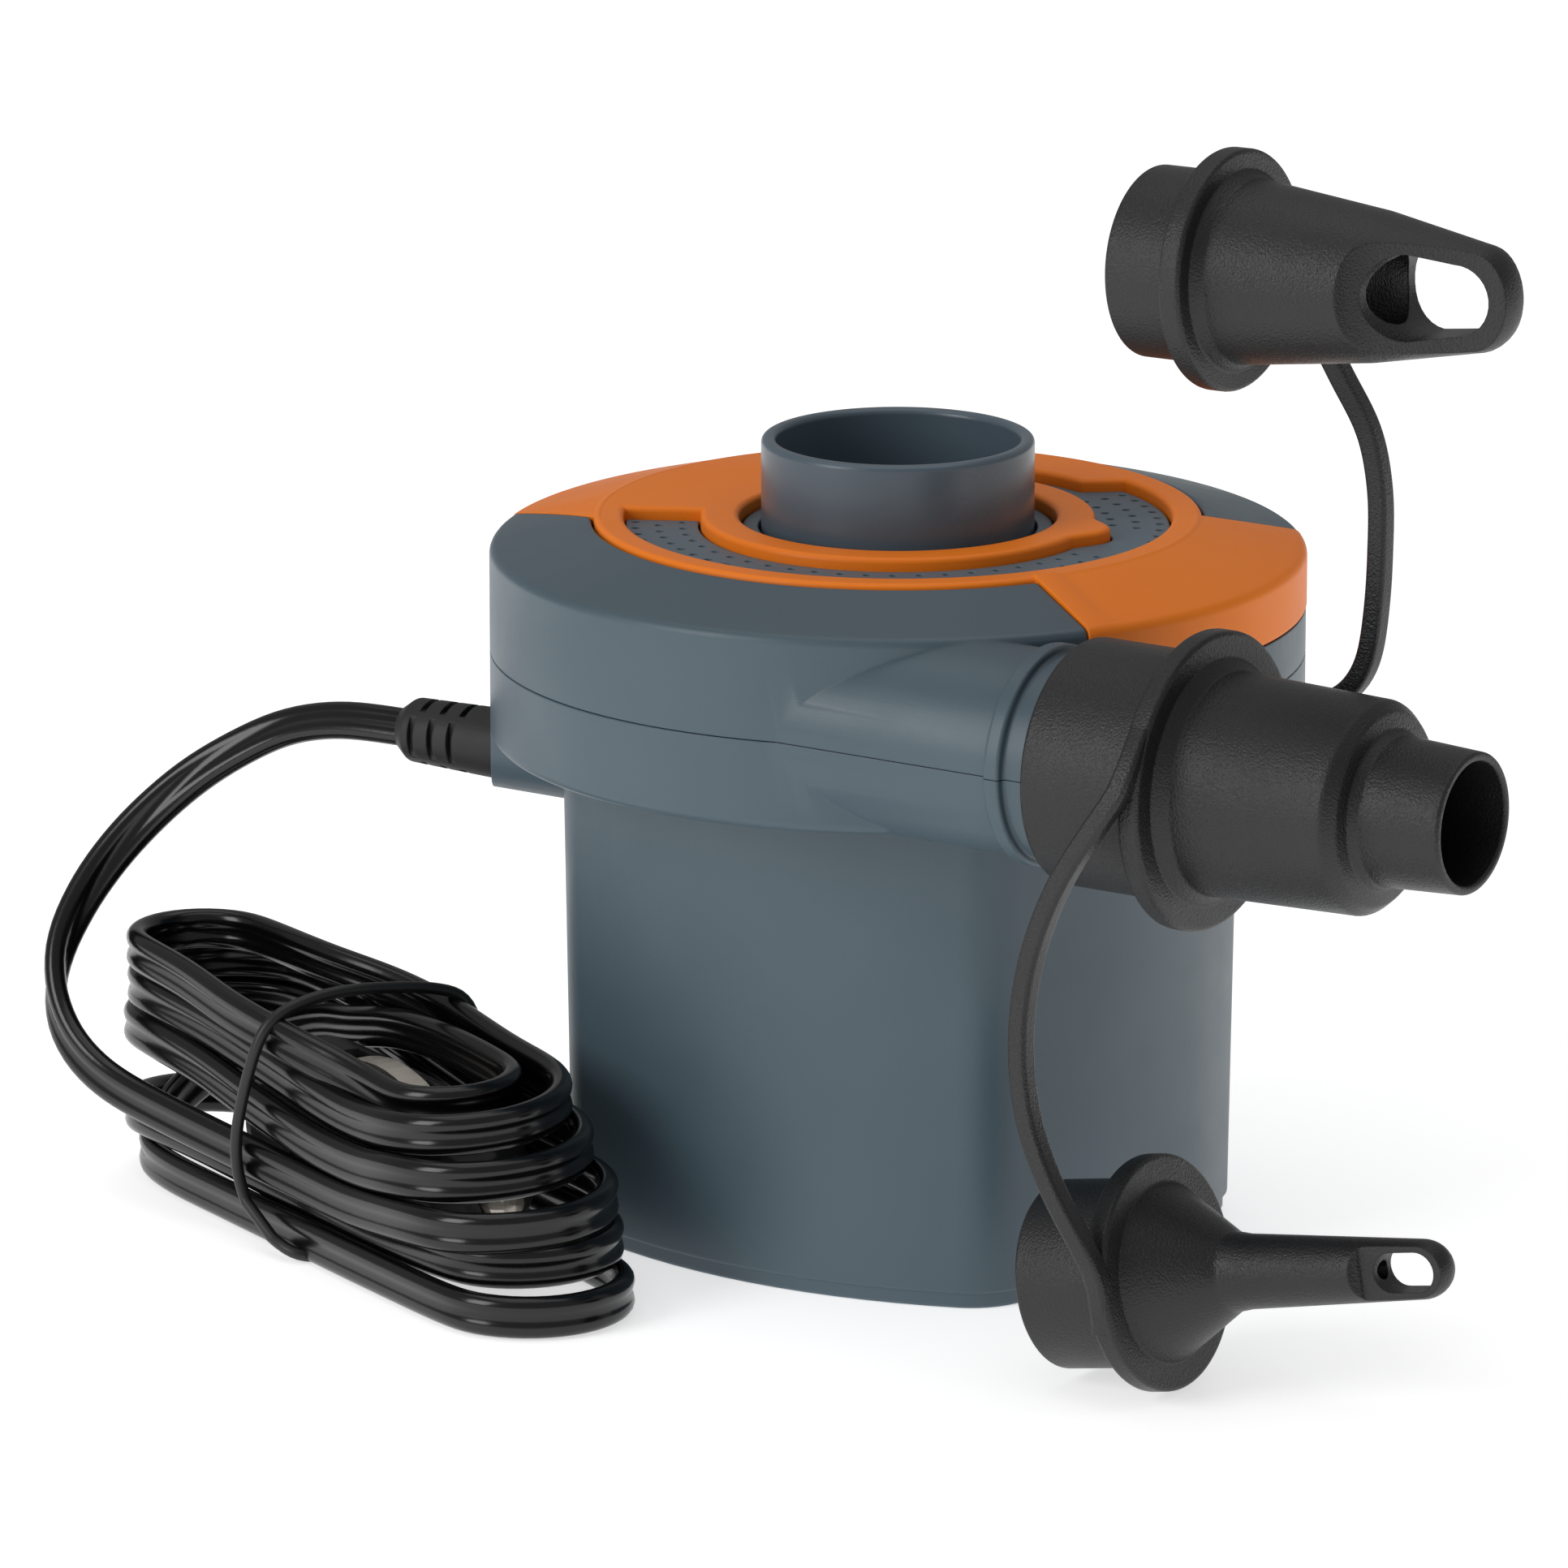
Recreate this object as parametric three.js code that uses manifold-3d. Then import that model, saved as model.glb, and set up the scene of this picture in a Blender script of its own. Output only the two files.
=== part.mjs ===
// Electric air mattress pump, in millimetres, +Z up.
// The origin is where the head's axis meets the plane of the canister's base. The outlet points along +X
// on the -Y side of the head. The lead leaves the head towards -X and lies beside the canister as a hank.
import * as THREE from "three";
import { mergeVertices } from "three/addons/utils/BufferGeometryUtils.js";
import Module from "manifold-3d";

const wasm = await Module();
wasm.setup();

// ---------------------------------------------------------------- driving dimensions
const GAP = 0.3; // between two pieces that meet
const WALL = 2.3; // moulded housing wall

const canister = {
  centreX: 0.7, // its middle is a little off the head's axis
  halfX: 38.1,
  halfY: 36.3,
  faceRadius: 75, // the four faces bulge
  cornerRadius: 10,
  growth: 0.023, // how much wider the top is than the base
  footHeight: 2.1,
  footInset: 0.55,
  floor: 2.4,
};

const head = {
  radius: 52,
  bottom: 64.4,
  seam: 75.8, // the two halves meet here
  wallTop: 89.2,
  shoulderRadius: 39,
  shoulderTop: 92.8,
  shoulderThickness: 3.6,
  deckBottom: 87.8,
  deckTop: 90.4,
};

const collar = { outer: 17.4, inner: 15.5, top: 103.2, flange: 21, flangeBottom: 85.9, flangeTop: 87.5 };
const neckRing = { outer: 19.9, top: 91.6 }; // raised ring of the cover round the collar

const trim = {
  bottom: 90.6,
  top: 93.2,
  innerRing: [20.2, 25.1],
  outerRing: [34.9, 38.7],
  wideRingInner: 30, // the outer ring is wider at the back
  wideFrom: 68,
  wideTo: 157,
  blockFrom: 156.5,
  blockTo: 208,
  wallBottom: 82,
};
const grille = { bottom: 90.7, top: 91.6, inner: 25.4, outer: 34.6 };

const outlet = {
  y: -37,
  z: 76,
  radius: 12.9,
  bore: 11,
  start: 5,
  end: 66,
  ribFrom: 45.3,
  ribTo: 47.6,
  ribRadius: 13.9,
};

const nozzle = {
  sleeveStart: 51.5,
  flangeFrom: 67.4,
  flangeTo: 70.4,
  bodyEnd: 94.5,
  tipStart: 95.4,
  tipEnd: 106.7,
  sleeveRadius: 15.4,
  sleeveBore: 13.2,
  flangeRadius: 18.6,
  tipBore: 7.62,
};

const upperAdapter = {
  z: 140.3,
  tilt: 1,
  middle: 85,
  start: 60.9,
  flangeFrom: 70.3,
  flangeTo: 73.3,
  end: 111.5,
};
const lowerAdapter = { y: -44.3, pitch: 10.2, flangeFront: [68.7, 15.1], flangeRadius: 14.65, length: 40.6 };
const strap = { width: 2.4, depth: 2.7 };

// The strain relief sits in a stepped socket: its seat, a narrow neck and a room for its collar.
const gland = {
  y: -22,
  z: 61,
  bossRadius: 7.3,
  bossZ: 62.8,
  bossInner: -31,
  neckFrom: -44.1,
  neckTo: -42.2,
  roomEnd: -39.1,
  reliefStart: -61.2,
  reliefRadius: 4.6,
  neckRadius: 3.6,
};

const volute = {
  plateBottom: 67.1,
  plateTop: 69.1,
  wallTop: 87.4,
  wall: 1.6,
  tongueAngle: -35,
  screwAngle: 235,
  tongueRadius: 37.4, // outer radius of the scroll wall
  screwRadius: 43,
  runOutY: -47.5,
};

const screws = { circle: 46.5, angles: [0, 90, 180, 235], boss: 3, headBottom: 65, seat: 66.7, end: 83 };

const motor = { radius: 18, wall: 1.6, bottom: 15.9, top: 66.8, capBottom: 12, magnetFrom: 24, magnetTo: 58 };
const shaftRadius = 1.6;
const impeller = { radius: 34.8, bottom: 71, disc: 2, top: 85.4, eye: 13, blades: 9, blade: 1.4 };

// The hank lies on a line turned by this angle; s runs along it and t across it.
const hank = {
  angle: -24.1,
  t: -60.3,
  fromS: -63.4,
  toS: 10.6,
  outer: 15.5,
  inner: 10.75,
  bottom: 0.3,
  top: 32,
};
const plug = { z: 12.2, radius: 10.3, bore: 7.8, leafWidth: 3.3, leafSlot: 4.1 };
const tie = { s: -36, width: 1.7, thickness: 1.3, clearance: 0.35 };
const cord = { width: 5.4, thickness: 2.8 };

const ROUND = 36; // segments of a large round
const MEDIUM = 24; // of a nozzle, tube or motor
const SMALL = 12; // of a screw or a hole

// ---------------------------------------------------------------- geometry helpers
const rad = THREE.MathUtils.degToRad;
const polar = (r, degrees) => [r * Math.cos(rad(degrees)), r * Math.sin(rad(degrees))];

function solid(geometry) {
  const bare = geometry.clone();
  bare.deleteAttribute("normal");
  bare.deleteAttribute("uv");
  const merged = mergeVertices(bare, 1e-4);
  const index = merged.index.array;
  const triangles = [];
  for (let i = 0; i < index.length; i += 3) {
    const [a, b, c] = [index[i], index[i + 1], index[i + 2]];
    if (a !== b && b !== c && c !== a) triangles.push(a, b, c);
  }
  const make = (triVerts) =>
    new wasm.Manifold(
      new wasm.Mesh({ numProp: 3, vertProperties: merged.attributes.position.array, triVerts }),
    );
  const made = make(new Uint32Array(triangles));
  return made.volume() > 0 ? made : make(new Uint32Array(triangles).reverse());
}

// A closed profile of [radius, height] points turned about Z.
function turned(profile, segments = ROUND) {
  const points = profile.map(([r, z]) => new THREE.Vector2(Math.max(r, 0), z));
  const [first, last] = [points[0], points[points.length - 1]];
  if (first.x > 0 || last.x > 0) points.push(first.clone());
  return new THREE.LatheGeometry(points, segments).rotateX(Math.PI / 2);
}

// A closed profile of [x, radius] points turned about X, then moved to y, z.
function turnedX(profile, y = 0, z = 0, segments = MEDIUM) {
  return turned(
    profile.map(([x, r]) => [r, x]),
    segments,
  )
    .rotateY(Math.PI / 2)
    .translate(0, y, z);
}

const tube = (outer, inner, z0, z1, segments) =>
  turned([[inner, z0], [outer, z0], [outer, z1], [inner, z1]], segments);
const rod = (r, z0, z1, segments) => turned([[0, z0], [r, z0], [r, z1], [0, z1]], segments);
const rodX = (r, x0, x1, y, z, segments) => turnedX([[x0, 0], [x0, r], [x1, r], [x1, 0]], y, z, segments);
const at = (geometry, x, y, z = 0) => geometry.translate(x, y, z);

function box([x0, y0, z0], [x1, y1, z1]) {
  return at(
    new THREE.BoxGeometry(x1 - x0, y1 - y0, z1 - z0),
    (x0 + x1) / 2,
    (y0 + y1) / 2,
    (z0 + z1) / 2,
  );
}

// An outline of [x, y] points raised from z0 to z1, with an optional hole.
function prism(outline, z0, z1, hole) {
  const toShape = (points) => new THREE.Shape(points.map(([x, y]) => new THREE.Vector2(x, y)));
  const shape = toShape(outline);
  if (hole) shape.holes.push(toShape(hole));
  return new THREE.ExtrudeGeometry(shape, { depth: z1 - z0, bevelEnabled: false }).translate(0, 0, z0);
}

function arc(r, from, to, steps, [cx, cy] = [0, 0]) {
  const points = [];
  for (let i = 0; i <= steps; i += 1) {
    const [x, y] = polar(r, from + ((to - from) * i) / steps);
    points.push([cx + x, cy + y]);
  }
  return points;
}

function sector(inner, outer, from, to, z0, z1) {
  const steps = Math.ceil((to - from) / 9);
  return prism([...arc(inner, from, to, steps), ...arc(outer, to, from, steps)], z0, z1);
}

// A section swept along a smooth curve through the points.
function swept(points, section, steps) {
  const path = new THREE.CatmullRomCurve3(points.map((p) => new THREE.Vector3(...p)), false, "centripetal");
  const shape = new THREE.Shape(section.map(([x, y]) => new THREE.Vector2(x, y)));
  return new THREE.ExtrudeGeometry(shape, { steps, extrudePath: path });
}

function roundSection(rx, ry = rx, sides = 8) {
  const points = [];
  for (let i = 0; i < sides; i += 1) {
    const a = (2 * Math.PI * (i + 0.5)) / sides;
    points.push([rx * Math.cos(a), ry * Math.sin(a)]);
  }
  return points;
}

const rectSection = (w, h) => [[-w / 2, -h / 2], [w / 2, -h / 2], [w / 2, h / 2], [-w / 2, h / 2]];

const union = (...geometries) =>
  geometries.map((g) => (g.isBufferGeometry ? solid(g) : g)).reduce((a, b) => a.add(b));
const cut = (base, ...geometries) =>
  geometries.map((g) => (g.isBufferGeometry ? solid(g) : g)).reduce((a, b) => a.subtract(b), base);
const common = (a, b) =>
  (a.isBufferGeometry ? solid(a) : a).intersect(b.isBufferGeometry ? solid(b) : b);

// ---------------------------------------------------------------- looks and assembly
const looks = {
  housing: { color: 0x55626a, roughness: 0.42, metalness: 0 },
  orange: { color: 0xdc783c, roughness: 0.4, metalness: 0 },
  collar: { color: 0x3d4149, roughness: 0.2, metalness: 0 },
  grille: { color: 0x4b5861, roughness: 0.5, metalness: 0 },
  blackPlastic: { color: 0x2f2f2f, roughness: 0.55, metalness: 0 },
  cord: { color: 0x1e1e1f, roughness: 0.3, metalness: 0 },
  steel: { color: 0xb4b6b8, roughness: 0.3, metalness: 1 },
  nickel: { color: 0xcfcac0, roughness: 0.25, metalness: 1 },
  copper: { color: 0xa8623a, roughness: 0.35, metalness: 1 },
  magnet: { color: 0x3a3a3c, roughness: 0.7, metalness: 0 },
  redLead: { color: 0xa32020, roughness: 0.4, metalness: 0 },
};

const pump = new THREE.Group();

function add(name, shape, look, parent = pump) {
  let geometry = shape;
  if (!shape.isBufferGeometry) {
    const { vertProperties, triVerts } = shape.getMesh();
    geometry = new THREE.BufferGeometry()
      .setAttribute("position", new THREE.BufferAttribute(vertProperties, 3))
      .setIndex(new THREE.BufferAttribute(triVerts, 1));
    geometry.computeVertexNormals();
  }
  const mesh = new THREE.Mesh(geometry, new THREE.MeshStandardMaterial(looks[look]));
  mesh.name = name;
  parent.add(mesh);
}

// A group that holds pieces drawn about their own axis.
function group(parent, position, rotation = [0, 0, 0]) {
  const made = new THREE.Group();
  made.position.set(...position);
  made.rotation.set(...rotation);
  parent.add(made);
  return made;
}

// ---------------------------------------------------------------- canister outline
// A square with round corners and bulged faces, all arcs tangent to each other.
function canisterOutline(inset) {
  const { halfX, halfY, faceRadius, cornerRadius } = canister;
  const [dx, dy, q] = [faceRadius - halfX, faceRadius - halfY, faceRadius - cornerRadius];
  const k = dx / dy;
  const m = (dx * dx - dy * dy) / (2 * dy);
  const a = 1 + k * k;
  const b = 2 * k * (m + dy);
  const c = (m + dy) ** 2 - q * q;
  const cx = (-b + Math.sqrt(b * b - 4 * a * c)) / (2 * a);
  const cy = k * cx + m;
  const alpha = THREE.MathUtils.radToDeg(Math.atan2(cy + dy, cx));
  const beta = THREE.MathUtils.radToDeg(Math.atan2(cy, cx + dx));
  const [corner, face] = [cornerRadius - inset, faceRadius - inset];
  const stretches = [
    arc(face, -beta, beta, 4, [-dx, 0]),
    arc(corner, beta, alpha, 5, [cx, cy]),
    arc(face, alpha, 180 - alpha, 4, [0, -dy]),
    arc(corner, 180 - alpha, 180 - beta, 5, [-cx, cy]),
    arc(face, 180 - beta, 180 + beta, 4, [dx, 0]),
    arc(corner, 180 + beta, 180 + alpha, 5, [-cx, -cy]),
    arc(face, 180 + alpha, 360 - alpha, 4, [0, dy]),
    arc(corner, 360 - alpha, 360 - beta, 5, [cx, -cy]),
  ];
  return stretches.flatMap((points) => points.slice(0, -1));
}

function canisterPrism(inset, z0, z1) {
  const geometry = prism(canisterOutline(inset), z0, z1);
  const position = geometry.attributes.position;
  for (let i = 0; i < position.count; i += 1) {
    const f = 1 + (canister.growth * position.getZ(i)) / head.bottom;
    position.setXY(i, position.getX(i) * f + canister.centreX, position.getY(i) * f);
  }
  return geometry;
}

// ---------------------------------------------------------------- housing
const FAR = 80; // beyond every side of the head
const innerRadius = head.radius - WALL;
const aboveSeam = () => box([-FAR, -FAR, head.seam + GAP / 2], [FAR, FAR, 120]);
const belowSeam = () => box([-FAR, -FAR, 20], [FAR, FAR, head.seam - GAP / 2]);

// The tube starts within the thickness of the head's side wall.
function outletTube() {
  const whole = union(
    rodX(outlet.radius, outlet.start, outlet.end, outlet.y, outlet.z),
    rodX(outlet.ribRadius, outlet.ribFrom, outlet.ribTo, outlet.y, outlet.z),
  );
  return cut(whole, rod(innerRadius + 0.5, 50, 110));
}

// The bore is cut clear through the tube, and above the head's floor through the head's side wall.
function outletBore() {
  const insideStart = 8;
  const wallX = 37;
  const outside = rodX(outlet.bore, wallX - 1, outlet.end + 1, outlet.y, outlet.z);
  const inside = common(
    rodX(outlet.bore, insideStart, wallX, outlet.y, outlet.z),
    box([0, -FAR, head.bottom + WALL], [FAR, FAR, FAR * 2]),
  );
  return union(outside, inside);
}

const screwPlaces = screws.angles.map((angle) => polar(screws.circle, angle));

function lowerHousing() {
  const ledgeTop = head.bottom + WALL;
  const fillet = 1.2;
  const drum = turned([
    [0, head.bottom],
    [head.radius - fillet, head.bottom],
    [head.radius - fillet * 0.3, head.bottom + fillet * 0.3],
    [head.radius, head.bottom + fillet],
    [head.radius, head.seam - GAP / 2],
    [0, head.seam - GAP / 2],
  ]);
  // A boss under the head, flush with its wall, holds the strain relief.
  const boss = common(
    union(
      rodX(gland.bossRadius, -FAR, gland.bossInner, gland.y, gland.bossZ),
      box(
        [-FAR, gland.y - gland.bossRadius, gland.bossZ],
        [gland.bossInner, gland.y + gland.bossRadius, head.bottom + fillet],
      ),
    ),
    rod(head.radius, gland.bossZ - 2 * gland.bossRadius, head.seam - 1),
  );
  let body = union(
    canisterPrism(canister.footInset, 0, canister.footHeight + 1),
    canisterPrism(0, canister.footHeight, head.bottom + 1),
    drum,
    common(outletTube(), belowSeam()),
    boss,
  );
  body = cut(
    body,
    canisterPrism(WALL, canister.floor, head.bottom + WALL + 1),
    rod(innerRadius, ledgeTop, head.seam + 5),
    outletBore(),
  );
  const bosses = screwPlaces.map(([x, y]) =>
    at(rod(screws.boss, head.bottom + 0.5, head.seam - GAP / 2, SMALL), x, y),
  );
  body = union(body, ...bosses);
  for (const [x, y] of screwPlaces) {
    body = cut(
      body,
      at(rod(2.7, head.bottom - 5, screws.seat + GAP, SMALL), x, y),
      at(rod(1.6, head.bottom, head.seam + 5, SMALL), x, y),
    );
  }
  const seat = gland.reliefRadius + GAP;
  const leadWay = 3.2;
  return cut(
    body,
    rodX(seat, -FAR, gland.neckFrom, gland.y, gland.z, SMALL),
    rodX(gland.neckRadius + GAP, gland.neckFrom - 1, gland.neckTo + 1, gland.y, gland.z, SMALL),
    rodX(seat, gland.neckTo, gland.roomEnd, gland.y, gland.z, SMALL),
    rodX(leadWay, gland.roomEnd - 1, gland.bossInner + 1, gland.y, gland.z, SMALL),
  );
}

// Outline of a wing of the trim, seen from above; both reach from the outer ring out past the rim.
const wingOutlines = [
  [polar(36.5, -31), polar(70, -29.4), [82, 0], [47, 49.8], [31.6, 19]],
  [polar(36.5, 153.2), polar(70, 151), [-82, 10], [-59.4, -9], [-29.5, -23.4]],
];

// The outline moved outward by a distance, for the pocket that takes the piece.
function grown(outline, distance) {
  const n = outline.length;
  const edge = (i) => {
    const [[ax, ay], [bx, by]] = [outline[i % n], outline[(i + 1) % n]];
    const length = Math.hypot(bx - ax, by - ay);
    const [nx, ny] = [(by - ay) / length, (ax - bx) / length];
    return { nx, ny, d: nx * ax + ny * ay };
  };
  const area = outline.reduce((sum, [x, y], i) => {
    const [u, v] = outline[(i + 1) % n];
    return sum + x * v - u * y;
  }, 0);
  const side = Math.sign(area) * distance;
  return outline.map((_, i) => {
    const [p, q] = [edge(i + n - 1), edge(i)];
    const det = p.nx * q.ny - p.ny * q.nx;
    const [dp, dq] = [p.d + side, q.d + side];
    return [(dp * q.ny - dq * p.ny) / det, (p.nx * dq - q.nx * dp) / det];
  });
}

// The wing's shell: down the shoulder, over the rim and down the wall, a little below the cover's surface.
function wingShell(extra) {
  const { radius, wallTop, shoulderTop } = head;
  const sink = 0.35;
  const ringJoin = 37.5;
  const proud = extra ? 2 : 0; // a pocket is open to the outside
  return turned([
    [ringJoin, shoulderTop + 0.2 + proud],
    [radius - 0.9, wallTop - 0.15 + proud],
    [radius - sink + proud, wallTop - 1 + proud],
    [radius - sink + proud, trim.wallBottom - extra],
    [radius - sink - 1.1 - extra, trim.wallBottom - extra],
    [radius - sink - 1.1 - extra, wallTop - 1.9 - extra],
    [ringJoin, trim.bottom - extra],
  ]);
}

const wings = (gap) =>
  wingOutlines.map((outline) =>
    common(wingShell(gap), prism(gap ? grown(outline, gap) : outline, 60, 110)),
  );

// Height of the cover's underside at a radius beyond the deck.
const shoulderSlope = (head.shoulderTop - head.wallTop) / (head.radius - head.shoulderRadius);
const underShoulder = (r) =>
  head.shoulderTop - shoulderSlope * (r - head.shoulderRadius) - head.shoulderThickness;
const underMeets =
  head.shoulderRadius + (head.shoulderTop - head.shoulderThickness - head.deckBottom) / shoulderSlope;

function headCover() {
  const { radius, seam, wallTop, shoulderRadius, shoulderTop, deckBottom, deckTop } = head;
  const shell = turned([
    [collar.outer + GAP, deckBottom],
    [underMeets, deckBottom],
    [innerRadius, underShoulder(innerRadius)],
    [innerRadius, seam + GAP / 2],
    [radius, seam + GAP / 2],
    [radius, wallTop - 0.5],
    [radius - 0.5, wallTop + 0.1],
    [shoulderRadius, shoulderTop],
    [shoulderRadius, deckTop],
    [neckRing.outer, deckTop],
    [neckRing.outer, neckRing.top],
    [collar.outer + GAP, neckRing.top],
  ]);
  const bosses = screwPlaces.map(([x, y]) =>
    at(rod(screws.boss, seam + GAP / 2, deckBottom - 0.6, SMALL), x, y),
  );
  let body = union(shell, common(outletTube(), aboveSeam()), ...bosses);
  body = cut(
    body,
    outletBore(),
    ...wings(GAP),
  );
  for (const [x, y] of screwPlaces) body = cut(body, at(rod(1.6, seam - 1, screws.end + 0.6, SMALL), x, y));
  const ventFrom = [-146, -106, -66, -26, 14];
  return cut(body, ...ventFrom.map((a) => sector(27.4, 32.6, a, a + 32, deckBottom - 1, deckTop + 1)));
}

function trimPiece() {
  const { bottom, top, innerRing, outerRing } = trim;
  const [a, b] = innerRing;
  const [c, d] = outerRing;
  const bevel = 0.7;
  const shoulder = top - bevel;
  const ring = (from, to) =>
    turned([
      [from, bottom],
      [to, bottom],
      [to, shoulder],
      [to - bevel, top],
      [from + bevel, top],
      [from, shoulder],
    ]);
  const inner = ring(a, b);
  const outer = ring(c, d);
  const block = sector(b - 0.6, c + 0.6, trim.blockFrom, trim.blockTo, bottom, top - 0.15);
  const wide = sector(trim.wideRingInner, c + 0.6, trim.wideFrom, trim.wideTo, bottom, top - 0.1);
  const point = prism([polar(b - 0.6, 4), polar(29.3, 16), polar(b - 0.6, 28)], bottom, top - 0.4);
  return union(inner, outer, block, wide, point, ...wings(0));
}

function ventGrille() {
  const { bottom, top, inner, outer } = grille;
  const wide = sector(inner, outer, trim.blockTo - 360 + 0.6, trim.wideFrom - 0.6, bottom, top);
  const narrowOuter = trim.wideRingInner - GAP;
  const narrow = sector(inner, narrowOuter, trim.wideFrom - 1, trim.blockFrom - 0.6, bottom, top);
  const point = prism([polar(inner - 1, 2.6), polar(29.8, 16), polar(inner - 1, 29.4)], bottom - 1, top + 1);
  return cut(union(wide, narrow), point);
}

function intakeCollar() {
  const { outer, inner, top, flange, flangeBottom, flangeTop } = collar;
  return turned([
    [inner, flangeBottom],
    [flange, flangeBottom],
    [flange, flangeTop],
    [outer, flangeTop],
    [outer, top - 0.6],
    [outer - 0.4, top],
    [inner + 0.4, top],
    [inner, top - 0.5],
  ]);
}

// ---------------------------------------------------------------- volute
// The scroll opens slowly as far as the screw by the outlet and faster beyond it.
function scrollRadius(angle) {
  const { tongueAngle, tongueRadius, screwRadius, runOutY } = volute;
  const turn = volute.screwAngle + 4;
  const outletAngle = 270;
  if (angle <= turn) {
    return THREE.MathUtils.mapLinear(angle, tongueAngle, turn, tongueRadius, screwRadius);
  }
  return THREE.MathUtils.mapLinear(angle, turn, outletAngle, screwRadius, -runOutY);
}

function scrollLine(inset) {
  const points = [];
  for (let angle = volute.tongueAngle; angle < 270; angle += 8) {
    points.push(polar(scrollRadius(angle) - inset, angle));
  }
  return [...points, [0, volute.runOutY + inset]];
}

function volutePlate() {
  const { plateBottom, plateTop, wallTop, wall, runOutY } = volute;
  const reach = innerRadius - 0.5;
  const endX = Math.sqrt(reach ** 2 - runOutY ** 2);
  const endAngle = THREE.MathUtils.radToDeg(Math.atan2(runOutY, endX));
  const floor = prism([...scrollLine(0), ...arc(reach, endAngle, -39, 6)], plateBottom, plateTop);
  const scroll = prism([...scrollLine(0), ...scrollLine(wall).reverse()], plateTop - 0.5, wallTop);
  const tongueTip = polar(volute.tongueRadius - wall, volute.tongueAngle);
  const tongueRoot = polar(volute.tongueRadius, volute.tongueAngle);
  const throat = prism([tongueTip, tongueRoot, [40.6, -26.6], [39.4, -25]], plateTop - 0.5, wallTop - 2.4);
  const mounting = [-1, 1].map((side) => at(rod(1.6, plateBottom - 1, plateTop + 1, SMALL), 0, side * 11));
  const underCover = turned([
    [0, plateBottom - 1],
    [innerRadius, plateBottom - 1],
    [innerRadius, underShoulder(innerRadius) - GAP],
    [underMeets, head.deckBottom - GAP],
    [0, head.deckBottom - GAP],
  ]);
  const whole = cut(union(floor, scroll, throat), rod(5.6, plateBottom - 1, plateTop + 1), ...mounting);
  return common(whole, underCover);
}

function caseScrew([x, y]) {
  const { headBottom, seat, end } = screws;
  const [headRadius, thread] = [2.4, 1.3];
  const shape = turned(
    [
      [0, headBottom],
      [headRadius, headBottom],
      [headRadius, seat],
      [thread, seat],
      [thread, end - 1],
      [0, end],
    ],
    SMALL,
  );
  return at(shape, x, y);
}

// ---------------------------------------------------------------- motor
function motorCan() {
  const { radius, wall, bottom, top } = motor;
  const frontBoss = 5.4;
  const shell = turned(
    [
      [radius, bottom],
      [radius, top],
      [4.9, top],
      [4.9, top - 5],
      [frontBoss + 0.9, top - 5],
      [frontBoss + 0.9, top - wall],
      [radius - wall, top - wall],
      [radius - wall, bottom],
    ],
    MEDIUM,
  );
  const threads = [-1, 1].map((side) => at(rod(1.55, top - wall - 1, top + 1, SMALL), 0, side * 11));
  return cut(solid(shell), ...threads);
}

function motorEndCap() {
  const { radius, wall, bottom, capBottom } = motor;
  const shape = turned(
    [
      [2.2, capBottom],
      [radius, capBottom],
      [radius, bottom - GAP],
      [radius - wall - GAP, bottom - GAP],
      [radius - wall - GAP, bottom + 2],
      [radius - wall - 1.5, bottom + 2],
      [radius - wall - 1.5, bottom - GAP],
      [4.9, bottom - GAP],
      [4.9, capBottom + 1],
      [2.2, capBottom + 1],
    ],
    MEDIUM,
  );
  const slots = [-1, 1].map((side) =>
    box([side * 9 - 2.4, -0.8, capBottom - 1], [side * 9 + 2.4, 0.8, bottom + 1]),
  );
  return cut(solid(shape), ...slots);
}

const magnet = (from) => sector(14.3, 16.1, from, from + 130, motor.magnetFrom, motor.magnetTo);
const bearing = (z0, z1) => tube(4.6, shaftRadius + 0.15, z0, z1, SMALL);
const SLOTS = 5;
const slotPlace = (i) => polar(9.6, (360 / SLOTS) * i);

function armatureCore() {
  const places = [...Array(SLOTS).keys()].map(slotPlace);
  const slots = places.map(([x, y]) => at(rod(2.6, 27, 55, 8), x, y));
  const mouths = [...Array(SLOTS).keys()].map((i) =>
    box([9, -0.8, 27], [16, 0.8, 55]).rotateZ(rad((360 / SLOTS) * i)),
  );
  return cut(solid(tube(13.6, shaftRadius + GAP, 28.3, 53.7, MEDIUM)), ...slots, ...mouths);
}

function armatureWinding() {
  const ring = (z0, z1) =>
    turned([[4.6, z0], [11.4, z0], [12.4, z0 + 1.2], [12.4, z1 - 1.2], [11.4, z1], [4.6, z1]], 20);
  const bars = [...Array(SLOTS).keys()].map((i) => {
    const [x, y] = slotPlace(i);
    return at(rod(2.15, 24, 58, 8), x, y);
  });
  return union(ring(23.4, 28), ring(54, 58.6), ...bars);
}

// ---------------------------------------------------------------- impeller
function impellerPiece() {
  const { radius, bottom, disc, top, eye, blades, blade } = impeller;
  const hubTop = 80;
  const back = turned([
    [shaftRadius + 0.15, 69.9],
    [5, 69.9],
    [5, bottom],
    [radius, bottom],
    [radius, bottom + disc],
    [7, bottom + disc],
    [5, hubTop],
    [shaftRadius + 0.15, hubTop],
  ]);
  const lean = 38; // each blade's outer end trails its root by this angle
  const bladeLine = (offset) =>
    [0, 1, 2, 3, 4, 5].map((i) => {
      const f = i / 5;
      return polar(eye + (radius - 0.6 - eye) * f, -lean * f ** 1.3 + offset / (0.35 + f));
    });
  const vane = (i) =>
    prism([...bladeLine(0), ...bladeLine(blade * 1.7).reverse()], bottom + disc - 0.4, top).rotateZ(
      rad((360 / blades) * i),
    );
  return union(back, ...[...Array(blades).keys()].map(vane));
}

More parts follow.
